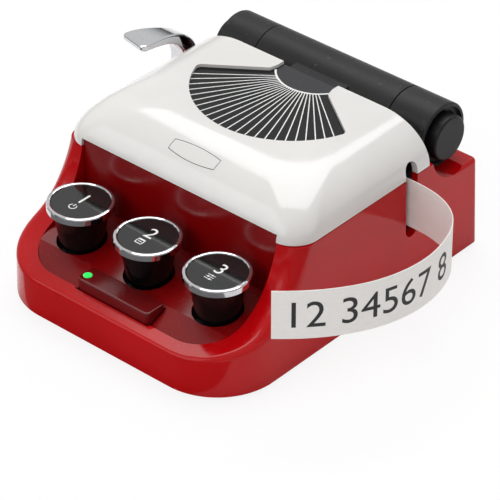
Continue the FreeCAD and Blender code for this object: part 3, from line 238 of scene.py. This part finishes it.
plasticLooks = {
    "redShell": {
        "dark": (178, 3, 9), "light": (190, 6, 13), "rough": (0.1, 0.17), "coat": 0.05,
        "coatRough": 0.04, "ior": 1.33, "fineScale": 1800, "fineHeight": 0.02, "waveScale": 55,
        "waveHeight": 0.35, "dust": 0.05
    },
    "deckRed": {
        "dark": (126, 4, 7), "light": (138, 7, 10), "rough": (0.2, 0.3), "coat": 0.05, "coatRough": 0.1,
        "ior": 1.36, "fineScale": 1800, "fineHeight": 0.04, "waveScale": 60, "waveHeight": 0.3,
        "dust": 0.05
    },
    "ivoryCover": {
        "dark": (222, 220, 217), "light": (228, 226, 223), "rough": (0.13, 0.2), "coat": 0.3,
        "coatRough": 0.05, "fineScale": 1600, "fineHeight": 0.02, "waveScale": 45, "waveHeight": 0.4,
        "dust": 0.03
    },
    "rollerBlack": {
        "dark": (32, 31, 31), "light": (39, 38, 38), "rough": (0.36, 0.46), "coat": 0.0,
        "coatRough": 0.3, "ior": 1.3, "fineScale": 4200, "fineHeight": 0.35, "waveScale": 70,
        "waveHeight": 0.2, "dust": 0.1
    },
    "knobBlack": {
        "dark": (20, 20, 20), "light": (26, 26, 26), "rough": (0.34, 0.44), "coat": 0.0,
        "coatRough": 0.3, "ior": 1.3, "fineScale": 4200, "fineHeight": 0.3, "waveScale": 70,
        "waveHeight": 0.2, "dust": 0.08
    },
    "barRed": {
        "dark": (96, 6, 9), "light": (108, 9, 12), "rough": (0.16, 0.26), "coat": 0.05, "coatRough": 0.1,
        "ior": 1.48, "fineScale": 2200, "fineHeight": 0.04, "waveScale": 80, "waveHeight": 0.25,
        "dust": 0.05
    },
    "keyBlack": {
        "dark": (8, 8, 8), "light": (13, 13, 13), "rough": (0.16, 0.26), "coat": 0.0, "coatRough": 0.08,
        "ior": 1.33, "fineScale": 2600, "fineHeight": 0.05, "waveScale": 90, "waveHeight": 0.2,
        "dust": 0.06
    },
    "keyFace": {
        "dark": (19, 20, 21), "light": (25, 26, 27), "rough": (0.05, 0.1), "coat": 0.3,
        "coatRough": 0.03, "ior": 1.45, "fineScale": 2600, "fineHeight": 0.01, "waveScale": 90,
        "waveHeight": 0.1, "dust": 0.05
    },
    "fanBlack": {
        "dark": (10, 10, 11), "light": (15, 15, 16), "rough": (0.12, 0.2), "coat": 0.05,
        "coatRough": 0.06, "ior": 1.33, "fineScale": 2600, "fineHeight": 0.02, "waveScale": 70,
        "waveHeight": 0.1, "dust": 0.05
    },
    "fanGrey": {
        "dark": (50, 50, 54), "light": (56, 56, 60), "rough": (0.4, 0.5), "coat": 0.0, "coatRough": 0.2,
        "ior": 1.3, "fineScale": 3200, "fineHeight": 0.08, "waveScale": 70, "waveHeight": 0.1,
        "dust": 0.05
    },
    "innerGrey": {
        "dark": (70, 71, 74), "light": (86, 87, 90), "rough": (0.45, 0.6), "coat": 0.0, "coatRough": 0.3,
        "fineScale": 3600, "fineHeight": 0.4, "waveScale": 70, "waveHeight": 0.2, "dust": 0.3
    },
    "cassetteDark": {
        "dark": (52, 54, 58), "light": (62, 64, 68), "rough": (0.3, 0.42), "coat": 0.1, "coatRough": 0.2,
        "fineScale": 3600, "fineHeight": 0.2, "waveScale": 70, "waveHeight": 0.2, "dust": 0.2
    },
    "gearWhite": {
        "dark": (214, 210, 196), "light": (228, 225, 214), "rough": (0.35, 0.5), "coat": 0.0,
        "coatRough": 0.3, "fineScale": 3600, "fineHeight": 0.15, "waveScale": 120, "waveHeight": 0.2,
        "dust": 0.2
    },
    "matRubber": {
        "dark": (26, 26, 26), "light": (40, 40, 40), "rough": (0.75, 0.9), "coat": 0.0, "coatRough": 0.3,
        "fineScale": 2600, "fineHeight": 1.2, "waveScale": 200, "waveHeight": 0.5, "dust": 0.5
    },
    "platenRubber": {
        "dark": (30, 31, 33), "light": (42, 43, 45), "rough": (0.6, 0.75), "coat": 0.0, "coatRough": 0.3,
        "fineScale": 5200, "fineHeight": 0.7, "waveScale": 150, "waveHeight": 0.2, "dust": 0.2
    },
    "headCeramic": {
        "dark": (186, 172, 140), "light": (204, 192, 164), "rough": (0.2, 0.3), "coat": 0.3,
        "coatRough": 0.1, "fineScale": 3600, "fineHeight": 0.1, "waveScale": 120, "waveHeight": 0.1,
        "dust": 0.0
    },
    "labelInk": {
        "dark": (14, 14, 15), "light": (22, 22, 23), "rough": (0.5, 0.6), "coat": 0.0, "coatRough": 0.3,
        "fineScale": 5200, "fineHeight": 0.2, "waveScale": 200, "waveHeight": 0.1, "dust": 0.0
    },
    "legendWhite": {
        "dark": (236, 236, 234), "light": (246, 246, 245), "rough": (0.3, 0.4), "coat": 0.0,
        "coatRough": 0.3, "fineScale": 5200, "fineHeight": 0.05, "waveScale": 200, "waveHeight": 0.1,
        "dust": 0.0
    },
    "badgeLine": {
        "dark": (70, 70, 72), "light": (84, 84, 86), "rough": (0.3, 0.4), "coat": 0.0, "coatRough": 0.3,
        "fineScale": 5200, "fineHeight": 0.05, "waveScale": 200, "waveHeight": 0.1, "dust": 0.0
    },
}
metalLooks = {
    "chrome": {"dark": (202, 203, 206), "light": (222, 223, 226), "rough": (0.05, 0.11), "bump": 0.03,
               "along": (900, 900, 900)},
    "cutSteel": {"dark": (150, 151, 154), "light": (186, 187, 190), "rough": (0.25, 0.38), "bump": 0.3,
                 "along": (60, 3000, 3000)},
    "springSteel": {"dark": (140, 141, 144), "light": (176, 177, 180), "rough": (0.2, 0.32), "bump": 0.3,
                    "along": (3000, 3000, 200)},
    "bracketAluminium": {"dark": (176, 178, 182), "light": (200, 202, 205), "rough": (0.32, 0.45),
                         "bump": 0.4, "along": (3000, 3000, 60)},
    "motorCan": {"dark": (168, 168, 166), "light": (196, 196, 194), "rough": (0.25, 0.36), "bump": 0.25,
                 "along": (3000, 3000, 80)},
}
looks = {name: plasticMaterial(name, look) for name, look in plasticLooks.items()}
looks.update({name: metalMaterial(name, look) for name, look in metalLooks.items()})


def paperMaterial():
    # Coated label stock: warm white with soft fibres, matt.
    paper = {"dark": (232, 229, 225), "light": (243, 240, 236), "rough": (0.5, 0.62)}
    material, tree, shader = startMaterial("labelPaper")
    fibres = placeGroup(tree, brushedGroup, Along_X=400.0, Along_Y=400.0, Along_Z=1500.0)
    colour = blendColour(tree, fibres.outputs["Streak"], srgb(*paper["dark"]), srgb(*paper["light"]))
    tree.links.new(colour, shader.inputs["Base Color"])
    tree.links.new(rangeNode(tree, fibres.outputs["Patch"], *paper["rough"]), shader.inputs["Roughness"])
    tree.links.new(bumpNode(tree, fibres.outputs["Streak"], 0.1, relief["streak"]), shader.inputs["Normal"])
    return material


def boardMaterial():
    # Green solder mask with raised copper tracks on a square grid, the tracks showing only in patches that
    # also set the roughness.
    board = {"mask": (18, 74, 40), "track": (36, 104, 60), "scale": 420.0, "trackWidth": 0.04,
             "patchScale": 120.0, "rough": (0.25, 0.4)}
    material, tree, shader = startMaterial("circuitBoard")
    where = tree.nodes.new("ShaderNodeTexCoord").outputs["Object"]
    tracks = tree.nodes.new("ShaderNodeTexBrick")
    tracks.inputs["Scale"].default_value = board["scale"]
    tracks.inputs["Mortar Size"].default_value = board["trackWidth"]
    tracks.inputs["Color1"].default_value = (0, 0, 0, 1)
    tracks.inputs["Color2"].default_value = (0, 0, 0, 1)
    tracks.inputs["Mortar"].default_value = (1, 1, 1, 1)
    tree.links.new(where, tracks.inputs["Vector"])
    patches = noiseNode(tree, where, board["patchScale"], 1)
    shown = mathNode(tree, "MULTIPLY", tracks.outputs["Fac"], mathNode(tree, "GREATER_THAN", patches, 0.5))
    tree.links.new(blendColour(tree, shown, srgb(*board["mask"]), srgb(*board["track"])),
                   shader.inputs["Base Color"])
    tree.links.new(rangeNode(tree, patches, *board["rough"]), shader.inputs["Roughness"])
    tree.links.new(bumpNode(tree, shown, 0.5, relief["track"]), shader.inputs["Normal"])
    return material


def foilMaterial():
    # Battery wrap: grey-blue film, softly creased over the cell.
    film = {"dark": (150, 153, 158), "light": (186, 188, 192), "scale": 160.0, "rough": (0.25, 0.4)}
    material, tree, shader = startMaterial("batteryWrap")
    where = tree.nodes.new("ShaderNodeTexCoord").outputs["Object"]
    creases = noiseNode(tree, where, film["scale"], 3)
    colour = blendColour(tree, creases, srgb(*film["dark"]), srgb(*film["light"]))
    tree.links.new(colour, shader.inputs["Base Color"])
    tree.links.new(rangeNode(tree, creases, *film["rough"]), shader.inputs["Roughness"])
    tree.links.new(bumpNode(tree, creases, 0.5, relief["crease"]), shader.inputs["Normal"])
    shader.inputs["Metallic"].default_value = 0.6
    return material


def lightMaterial():
    # Green lens, lit from below, a little uneven.
    lamp = {"dim": (16, 150, 60), "bright": (66, 236, 110), "strength": 1.0, "rough": (0.15, 0.25)}
    material, tree, shader = startMaterial("lampGreen")
    where = tree.nodes.new("ShaderNodeTexCoord").outputs["Object"]
    glow = noiseNode(tree, where, 500.0, 1)
    colour = blendColour(tree, glow, srgb(*lamp["dim"]), srgb(*lamp["bright"]))
    tree.links.new(colour, shader.inputs["Base Color"])
    tree.links.new(colour, shader.inputs["Emission Color"])
    shader.inputs["Emission Strength"].default_value = lamp["strength"]
    tree.links.new(rangeNode(tree, glow, *lamp["rough"]), shader.inputs["Roughness"])
    return material


looks["labelPaper"] = paperMaterial()
looks["circuitBoard"] = boardMaterial()
looks["batteryWrap"] = foilMaterial()
looks["lampGreen"] = lightMaterial()

slotLooks = {
    "red_shell": "redShell", "dark_red": "deckRed", "ivory": "ivoryCover", "black_satin": "rollerBlack",
    "black_gloss": "keyBlack", "charcoal": "keyFace", "chrome": "chrome", "steel": "cutSteel",
    "spring_steel": "springSteel", "aluminium": "bracketAluminium", "grey_plastic": "innerGrey",
    "gear_white": "gearWhite", "mat_rubber": "matRubber", "platen_rubber": "platenRubber",
    "circuit_board": "circuitBoard", "battery_wrap": "batteryWrap", "tape_label": "labelPaper",
    "ceramic": "headCeramic", "green_light": "lampGreen", "motor_case": "motorCan",
}
nodeLooks = {"fan_panel": "fanBlack", "space_bar": "barRed", "cassette_lid": "cassetteDark",
             "left_knob": "knobBlack", "right_knob": "knobBlack"}
slotOfNode = {entry["node"]: entry["material_slot"] for entry in frame["record"]["subparts"]}
for nodeName, node in cadNodes.items():
    chosen = looks[nodeLooks.get(nodeName, slotLooks[slotOfNode[nodeName]])]
    node.data.materials.clear()
    node.data.materials.append(chosen)
print("materials placed")


def orientOut(shape):
    # Faces turned outwards on a closed piece.
    work = bmesh.new()
    work.from_mesh(shape.data)
    bmesh.ops.remove_doubles(work, verts=work.verts, dist=1e-7)
    bmesh.ops.recalc_face_normals(work, faces=work.faces)
    work.to_mesh(shape.data)
    work.free()


def addPiece(name, mesh, body, look):
    # A closed mesh in metres becomes a piece of one look, riding on a body.
    mesh.materials.clear()
    mesh.materials.append(looks[look])
    shape = bpy.data.objects.new(name, mesh)
    bpy.context.scene.collection.objects.link(shape)
    orientOut(shape)
    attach(shape, body)


def makePiece(name, points, faces, body, look, slotName):
    # A piece from points in millimetres.
    mesh = bpy.data.meshes.new(name)
    mesh.from_pydata((np.asarray(points, float) * mm).tolist(), [], faces)
    mesh.update()
    addPiece(name, mesh, body, look)


def gridFaces(rows, columns, closed):
    # Quads of a rows by columns grid; closed joins the last column to the first.
    steps = columns if closed else columns - 1
    row, column = np.meshgrid(np.arange(rows - 1), np.arange(steps), indexing="ij")
    after = (column + 1) % columns
    quads = np.stack([row * columns + column, row * columns + after,
                      (row + 1) * columns + after, (row + 1) * columns + column], axis=-1)
    return quads.reshape(-1, 4).tolist()


def ribbonSolid(left, right, thick):
    # A closed strip: left and right edge lines, lifted by thick along Z, with both ends capped.
    left, right = np.asarray(left, float), np.asarray(right, float)
    up = np.array([0, 0, thick])
    rings = np.stack([left, right, right + up, left + up], axis=1)
    count = len(left)
    faces = gridFaces(count, 4, True)
    last = (count - 1) * 4
    return rings.reshape(-1, 3), faces + [[0, 1, 2, 3], [last + 3, last + 2, last + 1, last]]


def gather(parts):
    # Many solids as one list of points and faces.
    points, faces = [], []
    for partPoints, partFaces in parts:
        faces += [[index + len(points) for index in face] for face in partFaces]
        points += np.asarray(partPoints).tolist()
    return points, faces


fan = {
    "rays": 23, "spread": 51.5, "spring": (0.35, 33.5), "hub": (0.0, 37.1), "hubRadius": 12.65,
    "hubSpread": 53.0, "outer": (0.0, 26.3), "outerRadius": 31.2, "margin": 0.3, "width": 0.34,
    "inner": 0.8, "arcWidth": 0.6, "arcSteps": 60, "thick": 0.05, "arcThick": 0.06, "backGap": 0.1,
}
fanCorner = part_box("fan_panel")[1]
fanTop = fanCorner.z / mm


def fanWays(spread, count):
    # Unit directions fanned evenly about the front, spread degrees to each side.
    angles = np.radians(np.linspace(-spread, spread, count))
    return np.stack([np.sin(angles), -np.cos(angles), np.zeros_like(angles)], axis=1)


def rayReach(ways, centre, radius):
    # How far each ray runs from its spring until it meets a circle: the larger root t of
    # |spring + t way - centre| = radius.
    off = np.array([fan["spring"][0] - centre[0], fan["spring"][1] - centre[1], 0.0])
    along = ways @ off
    return -along + np.sqrt(along * along - off @ off + radius * radius)


rayWays = fanWays(fan["spread"], fan["rays"])
rayStarts = rayReach(rayWays, fan["hub"], fan["hubRadius"])
rayEnds = rayReach(rayWays, fan["outer"], fan["outerRadius"] - fan["margin"])
spring = np.array([*fan["spring"], fanTop])
rays = []
for way, near, far in zip(rayWays, rayStarts, rayEnds):
    across = np.array([way[1], -way[0], 0]) * fan["width"] / 2
    start, end = spring + way * near, spring + way * far
    rays.append(ribbonSolid([start - across * fan["inner"], end - across],
                            [start + across * fan["inner"], end + across], fan["thick"]))
makePiece("fanRays", *gather(rays), "cover", "legendWhite", "ivory")

arcWays = fanWays(fan["hubSpread"], fan["arcSteps"])
hubCentre = np.array([*fan["hub"], fanTop])
arcFront = hubCentre + arcWays * (fan["hubRadius"] + fan["arcWidth"] / 2)
arcBack = hubCentre + arcWays * (fan["hubRadius"] - fan["arcWidth"] / 2)
makePiece("fanArc", *ribbonSolid(arcFront, arcBack, fan["arcThick"]), "cover", "legendWhite", "ivory")
hubBack = arcBack.copy()
hubBack[:, 1] = fanCorner.y / mm - fan["backGap"]
makePiece("fanHub", *ribbonSolid(arcBack, hubBack, fan["thick"]), "cover", "fanGrey", "black_satin")
print("fan drawn")


def readPoints(mesh):
    points = np.empty(len(mesh.vertices) * 3)
    mesh.vertices.foreach_get("co", points)
    return points.reshape(-1, 3)


def writePoints(mesh, points):
    mesh.vertices.foreach_set("co", np.asarray(points, float).ravel())
    mesh.update()


def evaluatedMesh(holder):
    # The mesh that an object's curve or modifiers give; the object itself goes.
    mesh = bpy.data.meshes.new_from_object(holder.evaluated_get(bpy.context.evaluated_depsgraph_get()))
    bpy.data.objects.remove(holder)
    return mesh


def textMesh(words, tall, extrude=0.02):
    # Text laid flat, its digits tall millimetres high, centred on the origin, with a little thickness.
    letters = bpy.data.curves.new("letters", "FONT")
    letters.body = words
    letters.align_x = "CENTER"
    letters.resolution_u = 5
    letters.extrude = extrude
    holder = bpy.data.objects.new("letters", letters)
    bpy.context.scene.collection.objects.link(holder)
    bpy.context.view_layer.update()
    mesh = evaluatedMesh(holder)
    points = readPoints(mesh)
    low, high = points.min(0), points.max(0)
    writePoints(mesh, (points - (low + high) / 2) * (tall / (high[1] - low[1])))
    return mesh


def arcRibbon(centre, radius, width, start, end, base, thick, steps=28):
    # Flat arc band: centre plus radius times (sin a, cos a) for a from start to end degrees, clockwise
    # from the back.
    angles = np.radians(np.linspace(start, end, steps))
    way = np.stack([np.sin(angles), np.cos(angles), np.zeros(steps)], axis=1)
    middle = np.array([*centre, base])
    return ribbonSolid(middle + way * (radius + width / 2), middle + way * (radius - width / 2), thick)


def bar(first, last, width, base, thick):
    # Flat straight band between two points.
    first, last = np.array([*first, base]), np.array([*last, base])
    way = (last - first) / np.linalg.norm(last - first)
    across = np.array([-way[1], way[0], 0]) * width / 2
    return ribbonSolid([first + across, last + across], [first - across, last - across], thick)


legend = {
    "digits": ("1", "2", "3"), "tall": 4.7, "back": 1.6, "thick": 0.05, "sink": 0.02,
    "markBack": -3.2, "markSize": 1.15, "line": 0.3, "thin": 0.7, "bold": 2, "knobThick": 0.06,
    "ring": (40, 320),                                      # degrees
    "stroke": (0.1, 1.4375),                                # millimetres from the mark's middle
    "leafHead": 0.75, "dayReach": 0.55, "dayLow": -0.15,    # shares of the mark's size
    "sliders": ((-0.8, 0.5), (0.0, -0.5), (0.8, 0.2)), "sliderReach": 1.2, "knobHalf": 0.2,
}
size, line = legend["markSize"], legend["line"]


def powerMark(x, y, top):
    # On and off sign: a broken ring with an upright stroke.
    near, far = legend["stroke"]
    return [arcRibbon((x, y), size, line, *legend["ring"], top, legend["thick"]),
            bar((x, y + near), (x, y + far), line, top, legend["thick"])]


def calendarMark(x, y, top):
    # Calendar leaf: frame, thick head and a row of days.
    head, days = y + size * legend["leafHead"], y + size * legend["dayLow"]
    reach = size * legend["dayReach"]
    left, right, low, high = x - size, x + size, y - size, y + size
    strokes = [((left, low), (right, low), line), ((left, head), (right, head), line * legend["bold"]),
               ((left, low), (left, high), line), ((right, low), (right, high), line),
               ((x - reach, days), (x + reach, days), line)]
    return [bar(*stroke, top, legend["thick"]) for stroke in strokes]


def sliderMark(x, y, top):
    # Three rails, each with a knob.
    marks = []
    for row, knob in legend["sliders"]:
        level, reach = y + row * size, size * legend["sliderReach"]
        low, high = x + (knob - legend["knobHalf"]) * size, x + (knob + legend["knobHalf"]) * size
        marks.append(bar((x - reach, level), (x + reach, level), line * legend["thin"], top, legend["thick"]))
        marks.append(bar((low, level), (high, level), line * legend["bold"], top, legend["knobThick"]))
    return marks


marks = {"left": powerMark, "middle": calendarMark, "right": sliderMark}
for (side, mark), words in zip(marks.items(), legend["digits"]):
    low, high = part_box(side + "_key_face")
    middleX, middleY = (low.x + high.x) / 2 / mm, (low.y + high.y) / 2 / mm
    top = high.z / mm - legend["sink"]
    digit = textMesh(words, legend["tall"])
    points = readPoints(digit)
    flat = np.where(points[:, 2] > 0, legend["thick"], 0.0)
    points = np.column_stack([points[:, 0] + middleX, points[:, 1] + middleY + legend["back"], flat + top])
    writePoints(digit, points * mm)
    addPiece(side + "KeyDigit", digit, side + "_key", "legendWhite")
    strokes = gather(mark(middleX, middleY + legend["markBack"], top))
    makePiece(side + "KeyMark", *strokes, side + "_key", "legendWhite", "ivory")
print("keys lettered")

tapePrint = {
    "words": "12 34567 8", "tall": 8.6, "start": 5.5, "thick": 0.05, "away": 0.6, "slice": 0.8, "steps": 600,
    "route": [(44, 24.3), (50, 24.2), (58.5, 22.4), (66, 17.3), (71, 7.8), (72.7, -2.7), (71.6, -12.7),
              (69, -20.5), (63.8, -29.4), (57, -37.4), (51, -42.8)],
}
tapeMiddle = sum(corner.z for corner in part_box("label_tape")) / 2 / mm


def smoothRoute(route, count):
    # Points on a smooth line through the route: on each stretch a cubic whose slopes at its ends are half
    # the difference of the neighbouring points.
    knots = np.array(route, float)
    slopes = np.gradient(knots, axis=0)
    spans = np.linspace(0, len(knots) - 1 - 1e-9, count)
    index = spans.astype(int)
    part = (spans - index)[:, None]
    first, last = knots[index], knots[index + 1]
    return ((2 * part ** 3 - 3 * part ** 2 + 1) * first + (part ** 3 - 2 * part ** 2 + part) * slopes[index]
            + (3 * part ** 2 - 2 * part ** 3) * last + (part ** 3 - part ** 2) * slopes[index + 1])


def wrapOn(name, mesh, node, body, look, thick, downwards=False):
    # A flat piece laid on a CAD node's surface: nearest points, or straight down, then given a thickness.
    writePoints(mesh, readPoints(mesh) * mm)
    holder = bpy.data.objects.new(name, mesh)
    bpy.context.scene.collection.objects.link(holder)
    wrap = holder.modifiers.new("wrap", "SHRINKWRAP")
    wrap.target = cadNodes[node]
    if downwards:
        wrap.wrap_method = "PROJECT"
        wrap.use_project_z = True
        wrap.use_negative_direction = True
        wrap.use_positive_direction = False
    else:
        wrap.wrap_method = "NEAREST_SURFACEPOINT"
        wrap.wrap_mode = "OUTSIDE_SURFACE"
    shell = holder.modifiers.new("shell", "SOLIDIFY")
    shell.thickness = thick * mm
    shell.offset = 0
    bpy.context.view_layer.update()
    addPiece(name, evaluatedMesh(holder), body, look)


def sliceAcross(mesh, step):
    # Cuts across the words every step, so that they can bend.
    work = bmesh.new()
    work.from_mesh(mesh)
    reach = readPoints(mesh)[:, 0]
    for cutAt in np.arange(reach.min() + step, reach.max(), step):
        everything = work.verts[:] + work.edges[:] + work.faces[:]
        bmesh.ops.bisect_plane(work, geom=everything, plane_co=(cutAt, 0, 0), plane_no=(1, 0, 0))
    work.to_mesh(mesh)
    work.free()


route = smoothRoute(tapePrint["route"], tapePrint["steps"])[::-1]     # from the free end back to the slot
steps = np.linalg.norm(np.diff(route, axis=0), axis=1)
length = np.concatenate([[0], np.cumsum(steps)])
heading = np.gradient(route, axis=0)
heading /= np.linalg.norm(heading, axis=1)[:, None]
words = textMesh(tapePrint["words"], tapePrint["tall"], 0.0)
sliceAcross(words, tapePrint["slice"])
points = readPoints(words)
along = points[:, 0] - points[:, 0].min() + tapePrint["start"]
lines = [np.interp(along, length, values) for values in (*route.T, *heading.T)]
writePoints(words, np.stack([lines[0] + lines[3] * tapePrint["away"], lines[1] - lines[2] * tapePrint["away"],
                             points[:, 1] + tapeMiddle], axis=1))
wrapOn("tapePrint", words, "label_tape", "body", "labelInk", tapePrint["thick"])
print("tape printed")

badge = {
    "centre": (0.0, -17.2), "half": 8.7, "endHalf": 1.8, "midHalf": 2.7, "line": 0.17, "lean": 0.9,
    "steps": 40, "endSteps": 9, "above": 60.0, "thick": 0.06,
}


def badgeLoop(inset):
    across = np.linspace(-1, 1, badge["steps"])
    half, low = badge["half"] - inset, badge["endHalf"] - inset
    bow = low + (badge["midHalf"] - badge["endHalf"]) * (1 - across ** 2)
    end = np.linspace(low, -low, badge["endSteps"])[1:-1]
    upper = np.stack([across * half, bow], axis=1)
    right = np.stack([np.full_like(end, half), end], axis=1)
    return np.concatenate([upper, right, -upper, -right])


loops = np.array([badgeLoop(0.0), badgeLoop(badge["line"])])
count = loops.shape[1]
corners = np.concatenate([loops.reshape(-1, 2) * (1, badge["lean"]) + badge["centre"],
                          np.full((2 * count, 1), badge["above"])], axis=1)
plate = bpy.data.meshes.new("badgeOutline")
plate.from_pydata(corners.tolist(), [], gridFaces(2, count, True))
wrapOn("badgeOutline", plate, "cover_shell", "cover", "badgeLine", badge["thick"], True)
print("badge outlined")

studio = {
    "darkCard": ((-0.5, -0.5, 0.0004), (0.07, -0.0568, 0.0004)),
    "floorSize": 6.0, "floorColour": (250, 250, 250), "floorRough": 0.35, "floorGlow": 0.86,
    "worldLight": 0.5, "ceiling": (-0.05, 0.3, 0.05, 0.74), "cardColour": (110, 110, 110), "cardRough": 0.9,
    "lamps": [
        {"name": "topBox", "at": (-0.25, 0.35, 1.1), "aim": (0, 0, 0.02), "size": (0.9, 0.9), "power": 8.0},
        {"name": "rightBox", "at": (1.1, 0.25, 0.55), "aim": (0.03, 0, 0.02), "size": (0.7, 0.7),
         "power": 0.7},
        {"name": "frontBox", "at": (-0.35, -1.0, 0.75), "aim": (0, 0, 0.02), "size": (1.3, 0.9),
         "power": 4.4},
    ],
}
half = studio["floorSize"] / 2
floorMesh = bpy.data.meshes.new("floor")
floorMesh.from_pydata([(-half, -half, 0), (half, -half, 0), (half, half, 0), (-half, half, 0)],
                      [], [[0, 1, 2, 3]])
floorPiece = bpy.data.objects.new("floor", floorMesh)
bpy.context.scene.collection.objects.link(floorPiece)
floorMaterial, floorTree, floorShader = startMaterial("paleFloor")
floorShader.inputs["Base Color"].default_value = srgb(*studio["floorColour"])
floorShader.inputs["Roughness"].default_value = studio["floorRough"]
# The camera sees the floor mostly as plain white, so shadows on it stay faint.
glow = floorTree.nodes.new("ShaderNodeEmission")
blend = floorTree.nodes.new("ShaderNodeMixShader")
share = mathNode(floorTree, "MULTIPLY", floorTree.nodes.new("ShaderNodeLightPath").outputs["Is Camera Ray"],
                 studio["floorGlow"])
floorTree.links.new(share, blend.inputs["Fac"])
floorTree.links.new(floorShader.outputs[0], blend.inputs[1])
floorTree.links.new(glow.outputs[0], blend.inputs[2])
floorTree.links.new(blend.outputs[0], floorTree.nodes["Material Output"].inputs["Surface"])
floorMesh.materials.append(floorMaterial)

# A grey card on the floor in front, seen only in mirrors, deepens the front wall and the chrome.
(lowX, lowY, cardZ), (highX, highY, _) = studio["darkCard"]
cardMesh = bpy.data.meshes.new("darkCard")
cardMesh.from_pydata([(lowX, lowY, cardZ), (highX, lowY, cardZ), (highX, highY, cardZ),
                      (lowX, highY, cardZ)], [], [[0, 1, 2, 3]])
cardPiece = bpy.data.objects.new("darkCard", cardMesh)
bpy.context.scene.collection.objects.link(cardPiece)
cardMaterial, _, cardShader = startMaterial("cardBlack")
cardShader.inputs["Base Color"].default_value = srgb(*studio["cardColour"])
cardShader.inputs["Roughness"].default_value = studio["cardRough"]
cardMesh.materials.append(cardMaterial)
cardPiece.visible_camera = cardPiece.visible_diffuse = cardPiece.visible_shadow = False
cardPiece.visible_transmission = False

world = bpy.data.worlds.new("studioWorld")
bpy.context.scene.world = world
world.use_nodes = True
worldTree = world.node_tree
background = worldTree.nodes["Background"]
background.inputs["Color"].default_value = (1, 1, 1, 1)
path = worldTree.nodes.new("ShaderNodeLightPath")
# Mirrors see a dark room that brightens towards the ceiling.
direction = worldTree.nodes.new("ShaderNodeSeparateXYZ")
worldTree.links.new(worldTree.nodes.new("ShaderNodeTexCoord").outputs["Generated"], direction.inputs[0])
ceiling = worldTree.nodes.new("ShaderNodeMapRange")
ceiling.interpolation_type = "SMOOTHSTEP"
for label, value in zip(("From Min", "From Max", "To Min", "To Max"), studio["ceiling"]):
    ceiling.inputs[label].default_value = value
worldTree.links.new(direction.outputs["Z"], ceiling.inputs["Value"])
mirrored = worldTree.nodes.new("ShaderNodeMix")
mirrored.inputs["A"].default_value = studio["worldLight"]
worldTree.links.new(path.outputs["Is Glossy Ray"], mirrored.inputs["Factor"])
worldTree.links.new(ceiling.outputs["Result"], mirrored.inputs["B"])
seen = mathNode(worldTree, "MAXIMUM", mirrored.outputs["Result"], path.outputs["Is Camera Ray"])
worldTree.links.new(seen, background.inputs["Strength"])
for lamp in studio["lamps"]:
    lampData = bpy.data.lights.new(lamp["name"], "AREA")
    lampData.shape = "RECTANGLE"
    lampData.size, lampData.size_y = lamp["size"]
    lampData.energy = lamp["power"]
    lampObject = bpy.data.objects.new(lamp["name"], lampData)
    lampObject.location = lamp["at"]
    lampObject.rotation_euler = (Vector(lamp["aim"]) - Vector(lamp["at"])).to_track_quat("-Z", "Y").to_euler()
    bpy.context.scene.collection.objects.link(lampObject)
bpy.context.scene.view_settings.view_transform = "Standard"
print("studio lit")
